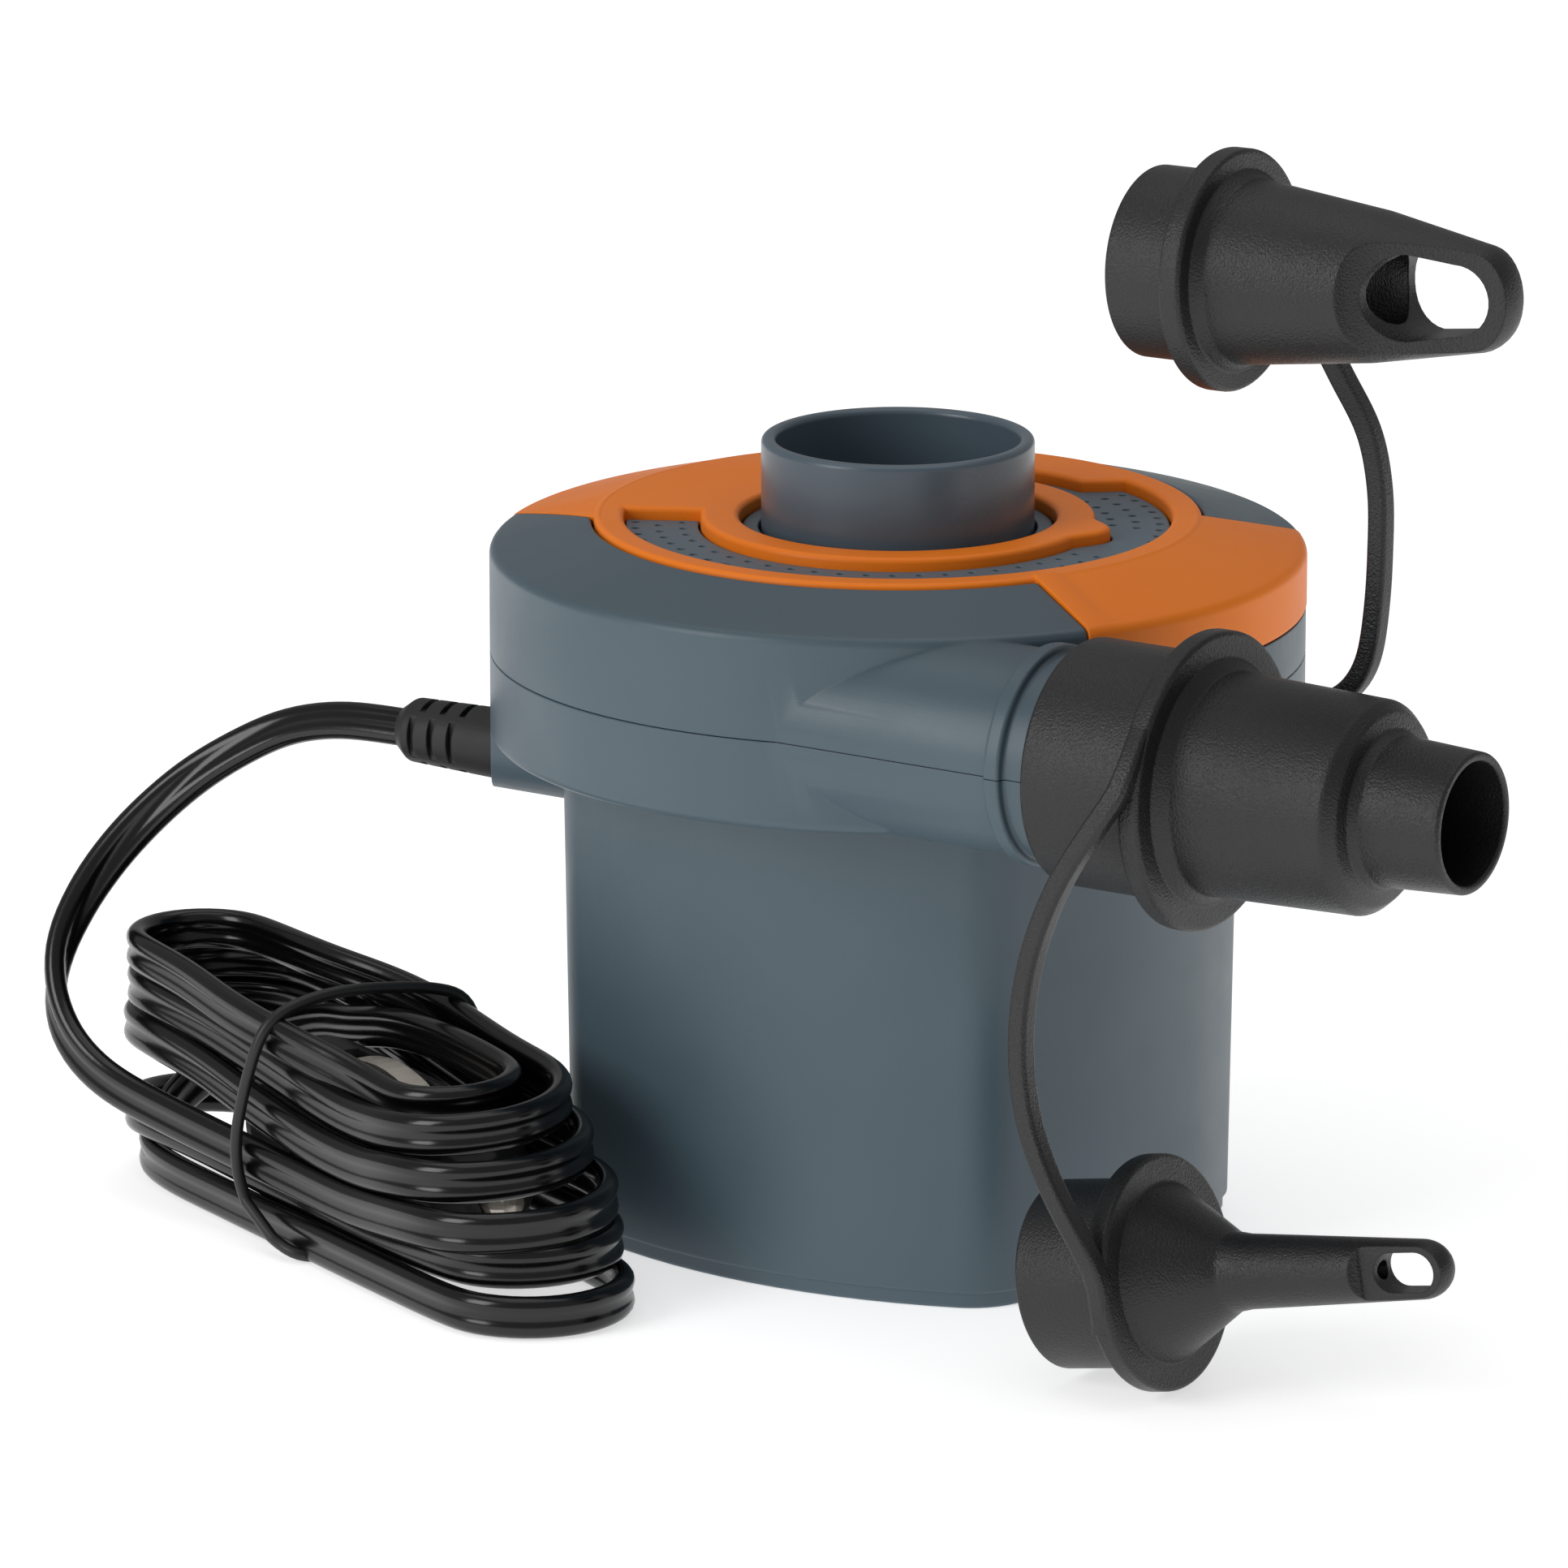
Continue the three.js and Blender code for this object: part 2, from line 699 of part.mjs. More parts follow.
// ---------------------------------------------------------------- nozzles and straps
function mainNozzle() {
  const { sleeveStart, flangeFrom, flangeTo, bodyEnd, tipStart, tipEnd } = nozzle;
  const { sleeveRadius, sleeveBore, flangeRadius, tipBore } = nozzle;
  return turnedX(
    [
      [sleeveStart, sleeveBore],
      [sleeveStart, sleeveRadius - 0.4],
      [sleeveStart + 0.5, sleeveRadius],
      [flangeFrom, sleeveRadius],
      [flangeFrom, flangeRadius - 0.4],
      [flangeFrom + 0.4, flangeRadius],
      [flangeTo - 0.4, flangeRadius],
      [flangeTo, flangeRadius - 0.4],
      [flangeTo, 15.4],
      [flangeTo + 1.6, 13.9],
      [bodyEnd - 1.6, 13.2],
      [bodyEnd - 0.4, 12.6],
      [bodyEnd + 0.2, 11.2],
      [bodyEnd + 0.3, 10.2],
      [tipStart + 0.3, 9.5],
      [tipEnd - 0.5, 8.9],
      [tipEnd, 8.6],
      [tipEnd, tipBore],
      [tipStart - 2.5, tipBore],
      [tipStart - 4, 11.2],
      [flangeTo, 11.4],
      [outlet.end + 1, 11.6],
      [outlet.end + 0.6, sleeveBore],
    ],
    outlet.y,
    outlet.z,
  );
}

// Built along X from its flange, level, then tilted.
function upperAdapterPiece() {
  const { start, flangeFrom, flangeTo, end } = upperAdapter;
  const outside = solid(
    turnedX([
      [start, 0],
      [start, 11.7],
      [flangeFrom, 11.7],
      [flangeFrom, 14.75],
      [flangeTo, 14.75],
      [flangeTo, 12.3],
      [flangeTo + 1.4, 11.3],
      [92.7, 9.2],
      [106.6, 6.6],
      [108.8, 5.8],
      [110.2, 4.4],
      [111.2, 2.4],
      [end, 0],
    ]),
  );
  // Two scooped flats leave a thin oval end with a window through it.
  const scoop = [
    [91.6, 9.6],
    [92.6, 7.6],
    [94.2, 6.2],
    [97, 5.1],
    [101.5, 3.8],
    [106.5, 2.7],
    [end + 2, 1.9],
  ];
  const reach = 14;
  const flats = [-1, 1].map((side) => {
    const line = scoop.map(([x, y]) => [x, side * y]);
    return prism([...line, [end + 2, side * reach], [scoop[0][0], side * reach]], -reach, reach);
  });
  const windowLine = [...arc(4.4, -90, 90, 6, [104.6, 0]), ...arc(5.3, 90, 270, 6, [98.9, 0])];
  const window = prism(windowLine, -reach, reach).rotateX(Math.PI / 2);
  const bores = turnedX([
    [start - 1, 0],
    [start - 1, 10.2],
    [flangeTo, 10.2],
    [flangeTo + 2, 9],
    [89.5, 6.8],
    [94.5, 4.6],
    [98, 3.4],
    [98, 0],
  ]);
  return cut(outside, ...flats, window, bores);
}

function lowerAdapterPiece() {
  const { flangeRadius, length } = lowerAdapter;
  const sleeve = -15.2;
  const nose = solid(
    turnedX([
      [sleeve, 0],
      [sleeve, 11.7],
      [-3, 11.7],
      [-3, flangeRadius],
      [0, flangeRadius],
      [0, 11.2],
      [1, 10.6],
      [9.8, 5],
      [12, 4.7],
      [length - 4, 3.7],
      [length - 2, 3.1],
      [length - 0.7, 1.9],
      [length, 0],
    ]),
  );
  const reach = 12;
  const scoop = [[length - 12.6, 4.4], [length - 11.6, 2.9], [length - 10, 2.1], [length + 1, 1.7]];
  const flats = [-1, 1].map((side) => {
    const line = scoop.map(([x, y]) => [x, side * y]);
    return prism([...line, [length + 1, side * reach], [scoop[0][0], side * reach]], -reach, reach);
  });
  const slotRadius = 2.5;
  const slotEnds = [length - 4, length - 7.3];
  const slot = prism(
    [...arc(slotRadius, -90, 90, 5, [slotEnds[0], 0]), ...arc(slotRadius, 90, 270, 5, [slotEnds[1], 0])],
    -reach,
    reach,
  ).rotateX(Math.PI / 2);
  const bores = turnedX([
    [sleeve - 1, 0],
    [sleeve - 1, 10.2],
    [-1, 10.2],
    [1, 8.6],
    [10, 3.4],
    [length - 13.5, 2.7],
    [length - 10, 1.2],
    [length - 8.5, 1.2],
    [length - 8.5, 0],
  ]);
  return cut(nose, ...flats, slot, bores);
}

// Centre lines of the moulded straps, from the main nozzle's flange to the adapter's flange.
const lowerStrapLine = [
  [69, -56.6, 79.6],
  [65.7, -57.1, 74.6],
  [61.4, -57.7, 67.3],
  [58.3, -58.2, 59.9],
  [56.7, -58.8, 52.5],
  [56.6, -59.5, 44.5],
  [58, -59.9, 36.7],
  [60.8, -60.2, 30.2],
  [63.6, -60.3, 25.5],
  [66.1, -60.4, 22.3],
  [68, -60.4, 19.7],
];
const upperStrapLine = [
  [73.9, -25.5, 129.4],
  [76, -22.8, 127.2],
  [78.4, -20.2, 123.4],
  [80.6, -18.8, 117.6],
  [81.9, -18.2, 110.2],
  [82, -18.2, 102.6],
  [81.6, -18.2, 95.4],
  [80.6, -18.4, 88.8],
  [78.4, -18.9, 84.9],
  [75.2, -19.4, 83],
  [71.8, -19.7, 82.4],
];
const strapTube = (line, steps) => swept(line, rectSection(strap.width, strap.depth), steps);

// ---------------------------------------------------------------- lead, hank and plug
const cordRoute = [
  [-61.5, -22, 61],
  [-69.2, -22, 60.8],
  [-74.8, -22, 60],
  [-80.6, -22.2, 58.3],
  [-86.2, -23.5, 55.4],
  [-92.5, -25.8, 51],
  [-97.8, -29.4, 45.4],
  [-101.4, -33.5, 39.6],
  [-103.2, -37.6, 34],
  [-103.4, -41.4, 28.6],
  [-101.6, -44.4, 23.4],
  [-98, -46.4, 19.2],
  [-93.2, -47.6, 16.2],
  [-87.6, -48.7, 14.4],
];

function stadium(r) {
  const { fromS, toS, t } = hank;
  return [...arc(r, -90, 90, 12, [toS, t]), ...arc(r, 90, 270, 12, [fromS, t])];
}

function cordHank() {
  const { outer, inner, bottom, top, t } = hank;
  const groove = box([tie.s - 2, t - 30, -1], [tie.s + 2, t + 30, bottom + tie.thickness + tie.clearance]);
  return cut(solid(prism(stadium(outer), bottom, top, stadium(inner))), groove);
}

function cordTie() {
  const half = hank.outer + tie.clearance;
  const { thickness, width, s } = tie;
  const frame = (h, z0, z1, r) => [
    ...arc(r, -90, 0, 4, [hank.t + h - r, z0 + r]),
    ...arc(r, 0, 90, 4, [hank.t + h - r, z1 - r]),
    ...arc(r, 90, 180, 4, [hank.t - h + r, z1 - r]),
    ...arc(r, 180, 270, 4, [hank.t - h + r, z0 + r]),
  ];
  const low = 0.25;
  const high = hank.top + tie.clearance;
  const outline = frame(half + thickness, low, high + thickness, 2);
  const hole = frame(half, low + thickness, high, 1);
  // The outline is drawn in the plane across the hank, so it is turned up from the XY plane.
  const band = prism(outline, -width / 2, width / 2, hole);
  return band.rotateX(Math.PI / 2).rotateZ(Math.PI / 2).translate(s, 0, 0);
}

function plugBody() {
  const { radius, bore, leafSlot } = plug;
  const shell = solid(
    turnedX([
      [-56, 0],
      [-56, 3.4],
      [-50, 4.6],
      [-48.6, 7.6],
      [-46.6, 9.6],
      [-44, radius],
      [-15.8, radius],
      [-15.8, bore],
      [-43.5, bore],
      [-43.5, 0],
    ]),
  );
  const slot = box([-37, -leafSlot / 2, -radius - 2], [-16.6, leafSlot / 2, radius + 2]);
  const cordWay = rodX(2.2, -57, -42, 0, 0, SMALL);
  return cut(shell, slot, cordWay);
}

function plugLeaf(side) {
  const line = [];
  const [from, to, low, high] = [-36.2, -17.4, 9.1, 11];
  for (let i = 0; i <= 8; i += 1) {
    const f = i / 8;
    line.push([from + (to - from) * f, low + (high - low) * Math.sin(Math.PI * f) ** 0.8]);
  }
  const under = line.map(([x, z]) => [x, z - 0.6]).reverse();
  const strip = prism([...line, ...under], -plug.leafWidth / 2, plug.leafWidth / 2);
  strip.rotateX(Math.PI / 2);
  return side > 0 ? strip : strip.rotateX(Math.PI);
}

const plugCap = () =>
  turnedX(
    [
      [-15.5, 7.4],
      [-15.5, 10.1],
      [-12.5, 10.1],
      [-3, 8.2],
      [0.6, 5.2],
      [0.6, 2.9],
      [-2.6, 2.9],
      [-2.6, 6.2],
      [-5, 7.4],
    ],
    0,
    0,
    8,
  );

const plugTip = () =>
  turnedX(
    [
      [-9, 0],
      [-9, 2.2],
      [-4.6, 2.2],
      [-4.6, 4.6],
      [-3.2, 4.6],
      [-3.2, 2.55],
      [2.6, 2.55],
      [4.4, 1.6],
      [4.8, 0],
    ],
    0,
    0,
    20,
  );

function plugSpring() {
  const points = [];
  const [turns, perTurn] = [5, 8];
  for (let i = 0; i <= turns * perTurn; i += 1) {
    const a = (2 * Math.PI * i) / perTurn;
    points.push([-30 + (17 * i) / (turns * perTurn), 3 * Math.cos(a), 3 * Math.sin(a)]);
  }
  return swept(points, roundSection(0.4, 0.4, 4), turns * perTurn);
}

function strainRelief() {
  const { y, z, reliefStart, reliefRadius, neckRadius, neckFrom, neckTo, roomEnd } = gland;
  const tip = reliefRadius - 0.9;
  const profile = [[reliefStart, 0], [reliefStart, tip], [reliefStart + 0.4, tip + 0.5]];
  const [grooves, pitch, halfGroove] = [4, 2.5, 0.5];
  for (let i = 0; i < grooves; i += 1) {
    const x = reliefStart + 2.2 + pitch * i;
    profile.push([x - halfGroove - 0.05, tip + 0.6], [x - halfGroove, neckRadius]);
    profile.push([x + halfGroove, neckRadius], [x + halfGroove + 0.05, tip + 0.7]);
  }
  profile.push([neckFrom - 2 * GAP, reliefRadius], [neckFrom - GAP, neckRadius]);
  profile.push([neckTo + GAP, neckRadius], [neckTo + GAP, reliefRadius]);
  profile.push([roomEnd - GAP, reliefRadius], [roomEnd - GAP, 0]);
  const waySection = roundSection(cord.width / 2 + GAP, cord.thickness / 2 + GAP, 10);
  const way = prism(waySection, reliefStart - 1, roomEnd + 1)
    .rotateY(Math.PI / 2)
    .translate(0, y, z);
  return cut(solid(turnedX(profile, y, z, SMALL)), way);
}

const redLeadLine = [
  [-38.8, -20.9, 61],
  [-34.6, -20.9, 60.9],
  [-30.4, -20.6, 59.3],
  [-28.6, -19.8, 52],
  [-28.4, -17.8, 38],
  [-27.4, -13.6, 20],
  [-21, -7, 10],
  [-11.6, -1.4, 8],
];
const blackLeadLine = [
  [-38.8, -23.3, 61],
  [-34.6, -23.2, 60.9],
  [-30, -23, 59.8],
  [-27.4, -23.4, 52],
  [-24, -24.8, 36],
  [-16, -23.6, 18],
  [-3, -16, 9],
  [7, -4.4, 8],
];
const leadSection = roundSection(0.95, 0.95, 6);

// ---------------------------------------------------------------- the assembly
add("lower_housing", lowerHousing(), "housing");
add("head_cover", headCover(), "housing");
add("orange_trim", trimPiece(), "orange");
add("vent_grille", ventGrille(), "grille");
add("intake_collar", intakeCollar(), "collar");
add("volute_plate", volutePlate(), "housing");
screwPlaces.forEach((place, i) => add(`case_screw_${i + 1}`, caseScrew(place), "steel"));

add("motor_can", motorCan(), "steel");
add("motor_end_cap", motorEndCap(), "blackPlastic");
add("motor_magnet_a", magnet(-65), "magnet");
add("motor_magnet_b", magnet(115), "magnet");
add("bearing_front", bearing(motor.top - 4.4, motor.top - 0.4), "steel");
add("bearing_rear", bearing(motor.capBottom + 1.2, motor.bottom - 0.4), "steel");
[-1, 1].forEach((side, i) => {
  const letter = "ab"[i];
  const [near, far] = [5.2, 10.5];
  const xs = side > 0 ? [near, far] : [-far, -near];
  add(`brush_${letter}`, box([xs[0], -1.7, 17.6], [xs[1], 1.7, 21]), "magnet");
  add(`motor_terminal_${letter}`, box([side * 9 - 2, -0.4, 6], [side * 9 + 2, 0.4, 17.2]), "nickel");
  const screw = turned([[0, 60.8], [1.2, 61.6], [1.2, 69.4], [2.6, 69.4], [2.6, 70.6], [0, 70.6]], SMALL);
  add(`motor_screw_${letter}`, at(screw, 0, side * 11), "steel");
});
add("lead_red", swept(redLeadLine, leadSection, 16), "redLead");
add("lead_black", swept(blackLeadLine, leadSection, 16), "cord");

add("motor_shaft", rod(shaftRadius, 13.4, 84, SMALL), "steel");
add("armature_core", armatureCore(), "steel");
add("armature_winding", armatureWinding(), "copper");
add("commutator", tube(4.9, shaftRadius + 0.15, 17, 23, 20), "copper");
add("impeller", impellerPiece(), "blackPlastic");
add("impeller_nut", cut(solid(rod(3.6, 80.3, 83, 6)), rod(shaftRadius + 0.15, 80, 84, SMALL)), "steel");

add("main_nozzle", mainNozzle(), "blackPlastic");
const upperTilt = rad(upperAdapter.tilt);
const upperDrop = upperAdapter.middle * Math.sin(upperTilt);
const upperPlace = group(pump, [0, outlet.y, upperAdapter.z - upperDrop], [0, -upperTilt, 0]);
const [frontX, frontZ] = lowerAdapter.flangeFront;
const lowerPlace = group(pump, [frontX, lowerAdapter.y, frontZ], [0, -rad(lowerAdapter.pitch), 0]);
add("upper_adapter", upperAdapterPiece(), "blackPlastic", upperPlace);
add("lower_adapter", lowerAdapterPiece(), "blackPlastic", lowerPlace);
add("upper_strap", strapTube(upperStrapLine, 20), "blackPlastic");
add("lower_strap", strapTube(lowerStrapLine, 24), "blackPlastic");

const cordSection = roundSection(cord.thickness / 2, cord.width / 2, 8);
const hankPlace = group(pump, [0, 0, 0], [0, 0, rad(hank.angle)]);
const plugPlace = group(hankPlace, [0, hank.t, plug.z]);
add("strain_relief", strainRelief(), "blackPlastic");
add("power_cord", swept(cordRoute, cordSection, 28), "cord");
add("cord_hank", cordHank(), "cord", hankPlace);
add("cord_tie", cordTie(), "cord", hankPlace);
add("plug_body", plugBody(), "blackPlastic", plugPlace);
add("plug_cap", plugCap(), "blackPlastic", plugPlace);
add("plug_tip_contact", plugTip(), "nickel", plugPlace);
add("plug_spring", plugSpring(), "steel", plugPlace);
add("plug_leaf_top", plugLeaf(1), "nickel", plugPlace);
add("plug_leaf_bottom", plugLeaf(-1), "nickel", plugPlace);

export default pump;
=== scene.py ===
"""Electric air mattress pump: the visible pieces, their materials, the stage and the camera.

Lengths are written in millimetres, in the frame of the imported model, and become metres in mesh_piece().
"""

import math

import bmesh
import bpy
from mathutils import Matrix, Vector


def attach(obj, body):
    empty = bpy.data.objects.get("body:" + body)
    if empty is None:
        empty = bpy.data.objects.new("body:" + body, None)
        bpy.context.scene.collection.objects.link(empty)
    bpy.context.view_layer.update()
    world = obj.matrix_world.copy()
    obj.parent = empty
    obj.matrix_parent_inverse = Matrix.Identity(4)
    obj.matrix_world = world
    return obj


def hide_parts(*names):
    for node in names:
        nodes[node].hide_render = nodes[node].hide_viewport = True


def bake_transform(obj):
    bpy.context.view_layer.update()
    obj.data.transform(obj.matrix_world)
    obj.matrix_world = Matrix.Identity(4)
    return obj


MM = 0.001
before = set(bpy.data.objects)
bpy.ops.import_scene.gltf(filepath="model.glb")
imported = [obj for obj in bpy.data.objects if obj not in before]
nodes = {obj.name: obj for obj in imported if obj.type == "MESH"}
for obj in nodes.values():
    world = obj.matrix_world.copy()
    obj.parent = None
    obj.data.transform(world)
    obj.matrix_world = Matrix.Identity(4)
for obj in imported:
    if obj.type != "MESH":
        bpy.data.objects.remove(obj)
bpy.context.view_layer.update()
scene = bpy.context.scene
scene.view_settings.view_transform = "Standard"

# ---------------------------------------------------------------- dimensions
WALL = 2.3
SEAM = 75.8
SEAM_GAP = 0.05  # each half stops this far from the seam

HEAD_RADIUS = 52
HEAD_BOTTOM = 64.4
WALL_TOP = 89.2
SHOULDER_RADIUS = 39
SHOULDER_TOP = 92.8
SHOULDER_THICKNESS = 3.6
DECK_BOTTOM = 87.8
DECK_TOP = 90.4
HEAD_INSIDE = HEAD_RADIUS - WALL
SHOULDER_SLOPE = (SHOULDER_TOP - WALL_TOP) / (HEAD_RADIUS - SHOULDER_RADIUS)

COLLAR_OUTER = 17.4
COLLAR_INNER = 15.5
COLLAR_TOP = 103.2

TRIM_BOTTOM = 90.6
TRIM_TOP = 93.2
INNER_RING = (20.2, 25.1)
OUTER_RING = (34.9, 38.7)
WIDE_RING_INNER = 30
WIDE_FROM = 68
BLOCK_FROM = 156.5
BLOCK_TO = 208
POINT_ANGLE = 16
GRILLE_BOTTOM = 90.7
GRILLE_TOP = 91.6

OUTLET_Y = -37
OUTLET_Z = 76
OUTLET_RADIUS = 12.9
OUTLET_BORE = 11
OUTLET_END = 66

GLAND_Y = -22
GLAND_Z = 61
GLAND_NECK = (-44.1, -42.2)
GLAND_ROOM_END = -39.1
RELIEF_START = -61.2
RELIEF_RADIUS = 4.6

HANK_ANGLE = math.radians(-24.1)
HANK_T = -60.3
PLUG_Z = 12.2
CORD_WIDTH = 5.4
CORD_THICKNESS = 2.8
STRAP_WIDTH = 2.6
STRAP_DEPTH = 2.8

ROUND = 128  # segments of a large round
MEDIUM = 72

# ---------------------------------------------------------------- camera
CAMERA_AZIMUTH = math.radians(33.5)
CAMERA_PITCH = math.radians(14.65)
camera_data = bpy.data.cameras.new("camera")
camera_data.lens = 276
camera_data.sensor_width = 36
camera_data.clip_start = 0.1
camera_data.clip_end = 20
camera = bpy.data.objects.new("camera", camera_data)
camera.location = (0.8092, -1.2488, 0.4465)
camera.rotation_euler = (math.pi / 2 - CAMERA_PITCH, 0, CAMERA_AZIMUTH)
scene.collection.objects.link(camera)
scene.camera = camera


# ---------------------------------------------------------------- materials
def linear(red, green, blue):
    """A colour given in sRGB from 0 to 255, as Blender's linear RGBA."""
    channels = []
    for value in (red, green, blue):
        v = value / 255
        channels.append(v / 12.92 if v <= 0.04045 else ((v + 0.055) / 1.055) ** 2.4)
    return (*channels, 1)


def shaded(colour, factor):
    return (*(min(1, c * factor) for c in colour[:3]), 1)


class Finish:
    """A node material: colour that drifts a little, uneven gloss, moulded grain and worn, softened edges."""

    def __init__(self, name):
        self.material = bpy.data.materials.new(name)
        self.material.use_nodes = True
        self.tree = self.material.node_tree
        self.shader = self.tree.nodes["Principled BSDF"]
        self.place = self.tree.nodes.new("ShaderNodeTexCoord").outputs["Object"]

    def node(self, kind, **settings):
        made = self.tree.nodes.new(kind)
        for key, value in settings.items():
            setattr(made, key, value)
        return made

    def link(self, source, target):
        self.tree.links.new(source, target)

    def noise(self, scale, detail=3.0, roughness=0.55, stretch=(1, 1, 1)):
        """Noise from 0 to 1 with about scale features to the metre."""
        mapping = self.node("ShaderNodeMapping")
        mapping.inputs["Scale"].default_value = stretch
        self.link(self.place, mapping.inputs["Vector"])
        made = self.node("ShaderNodeTexNoise")
        made.inputs["Scale"].default_value = scale
        made.inputs["Detail"].default_value = detail
        made.inputs["Roughness"].default_value = roughness
        self.link(mapping.outputs["Vector"], made.inputs["Vector"])
        return made.outputs["Fac"]

    def ranged(self, source, low, high, start=0.3, end=0.7):
        """Maps start to end of the source onto low to high."""
        made = self.node("ShaderNodeMapRange")
        made.inputs["From Min"].default_value = start
        made.inputs["From Max"].default_value = end
        made.inputs["To Min"].default_value = low
        made.inputs["To Max"].default_value = high
        self.link(source, made.inputs["Value"])
        return made.outputs["Result"]

    def mixed(self, factor, first, second):
        """Mixes two colours, each a constant or a socket."""
        made = self.node("ShaderNodeMix", data_type="RGBA")
        sockets = {s.identifier: s for s in made.inputs}
        for key, value in (("A_Color", first), ("B_Color", second)):
            if isinstance(value, tuple):
                sockets[key].default_value = value
            else:
                self.link(value, sockets[key])
        self.link(factor, sockets["Factor_Float"])
        return {s.identifier: s for s in made.outputs}["Result_Color"]

    def edge_mask(self, radius):
        """1 at convex and concave edges and 0 on faces, with the softened normal."""
        bevel = self.node("ShaderNodeBevel", samples=6)
        bevel.inputs["Radius"].default_value = radius * MM
        geometry = self.node("ShaderNodeNewGeometry")
        product = self.node("ShaderNodeVectorMath", operation="DOT_PRODUCT")
        self.link(bevel.outputs["Normal"], product.inputs[0])
        self.link(geometry.outputs["Normal"], product.inputs[1])
        return self.ranged(product.outputs["Value"], 1, 0, 0.8, 0.99), bevel.outputs["Normal"]


def moulded(
    name, colour, roughness, grain=0.05, grain_size=0.35, drift=0.06, edge=0.35, worn=1.35, specular=0.5
):
    """Moulded plastic. Grain is the bump's height and grain_size its size, both in millimetres."""
    made = Finish(name)
    shader = made.shader
    mask, soft_normal = made.edge_mask(edge)
    drifting = made.ranged(made.noise(28, 2), 0, 1)
    base = made.mixed(drifting, shaded(colour, 1 - drift), shaded(colour, 1 + drift))
    wear = made.node("ShaderNodeMath", operation="MULTIPLY")
    made.link(mask, wear.inputs[0])
    made.link(made.ranged(made.noise(160, 4), 0, 0.55, 0.42, 0.66), wear.inputs[1])
    made.link(made.mixed(wear.outputs["Value"], base, shaded(colour, worn)), shader.inputs["Base Color"])
    handled = made.ranged(made.noise(45, 5, 0.65), roughness * 0.86, min(1, roughness * 1.16))
    made.link(handled, shader.inputs["Roughness"])
    bump = made.node("ShaderNodeBump")
    bump.inputs["Strength"].default_value = 0.55
    bump.inputs["Distance"].default_value = grain * MM
    made.link(made.noise(1 / (grain_size * MM), 2, 0.5), bump.inputs["Height"])
    made.link(soft_normal, bump.inputs["Normal"])
    made.link(bump.outputs["Normal"], shader.inputs["Normal"])
    shader.inputs["Specular IOR Level"].default_value = specular
    return made.material


def metal(name, colour, roughness, brushed=(1, 1, 1), tarnish=0.75):
    """Metal with fine drawing marks along one direction and patches of duller surface."""
    made = Finish(name)
    shader = made.shader
    _, soft_normal = made.edge_mask(0.15)
    shader.inputs["Metallic"].default_value = 1
    patches = made.ranged(made.noise(220, 4), 0, 1, 0.4, 0.7)
    made.link(made.mixed(patches, colour, shaded(colour, tarnish)), shader.inputs["Base Color"])
    marks = made.noise(900, 3, 0.6, brushed)
    made.link(made.ranged(marks, roughness * 0.75, roughness * 1.35), shader.inputs["Roughness"])
    bump = made.node("ShaderNodeBump")
    bump.inputs["Strength"].default_value = 0.35
    bump.inputs["Distance"].default_value = 0.02 * MM
    made.link(marks, bump.inputs["Height"])
    made.link(soft_normal, bump.inputs["Normal"])
    made.link(bump.outputs["Normal"], shader.inputs["Normal"])
    return made.material


HOUSING = moulded("housing_plastic", linear(73, 90, 100), 0.4, grain=0.03, grain_size=0.3, worn=1.25)
ORANGE = moulded(
    "orange_plastic", linear(255, 132, 24), 0.45, grain=0.03, drift=0.04, worn=1.2, specular=0.3
)
COLLAR = moulded("collar_plastic", linear(82, 97, 108), 0.3, grain=0.012, grain_size=0.25, worn=1.4)
COLLAR_BORE = moulded("inner_plastic", linear(38, 42, 48), 0.5, grain=0.03)
GRILLE = moulded("grille_plastic", linear(88, 106, 117), 0.48, grain=0.03)
NOZZLE = moulded("nozzle_plastic", linear(24, 24, 25), 0.4, grain=0.24, grain_size=0.3, worn=1.7)
BLACK = moulded("black_plastic", linear(32, 32, 33), 0.48, grain=0.05, grain_size=0.4, worn=1.6)
RUBBER = moulded("relief_rubber", linear(26, 26, 27), 0.55, grain=0.05, grain_size=0.45, worn=1.5)
JACKET = moulded(
    "cord_jacket", linear(9, 9, 10), 0.2, grain=0.015, grain_size=0.9, drift=0.1, edge=0.1, worn=1.3
)
TIE = moulded("tie_plastic", linear(22, 22, 23), 0.4, grain=0.02, worn=1.4)
RED = moulded("red_lead", linear(160, 28, 28), 0.4, grain=0.02)
MAGNET = moulded("ferrite", linear(52, 52, 56), 0.75, grain=0.08, grain_size=0.2)
STEEL = metal("steel", linear(186, 188, 190), 0.3, (1, 1, 6))
NICKEL = metal("nickel", linear(240, 232, 220), 0.42, (8, 1, 1), 0.92)
COPPER = metal("copper", linear(190, 108, 66), 0.3, (1, 1, 10))


# ---------------------------------------------------------------- mesh helpers
def polar(r, degrees):
    a = math.radians(degrees)
    return (r * math.cos(a), r * math.sin(a))


def freeze(obj):
    """Applies the object's modifiers."""
    graph = bpy.context.evaluated_depsgraph_get()
    mesh = bpy.data.meshes.new_from_object(obj.evaluated_get(graph))
    obj.modifiers.clear()
    obj.data = mesh


def mesh_piece(name, points, faces):
    """An object from points in millimetres, with doubled points merged and its faces turned outwards."""
    mesh = bpy.data.meshes.new(name)
    mesh.from_pydata([(x * MM, y * MM, z * MM) for x, y, z in points], [], faces)
    work = bmesh.new()
    work.from_mesh(mesh)
    bmesh.ops.remove_doubles(work, verts=work.verts, dist=0.002 * MM)
    bmesh.ops.dissolve_degenerate(work, edges=work.edges, dist=0.001 * MM)
    bmesh.ops.recalc_face_normals(work, faces=work.faces)
    work.to_mesh(mesh)
    work.free()
    obj = bpy.data.objects.new(name, mesh)
    scene.collection.objects.link(obj)
    return obj


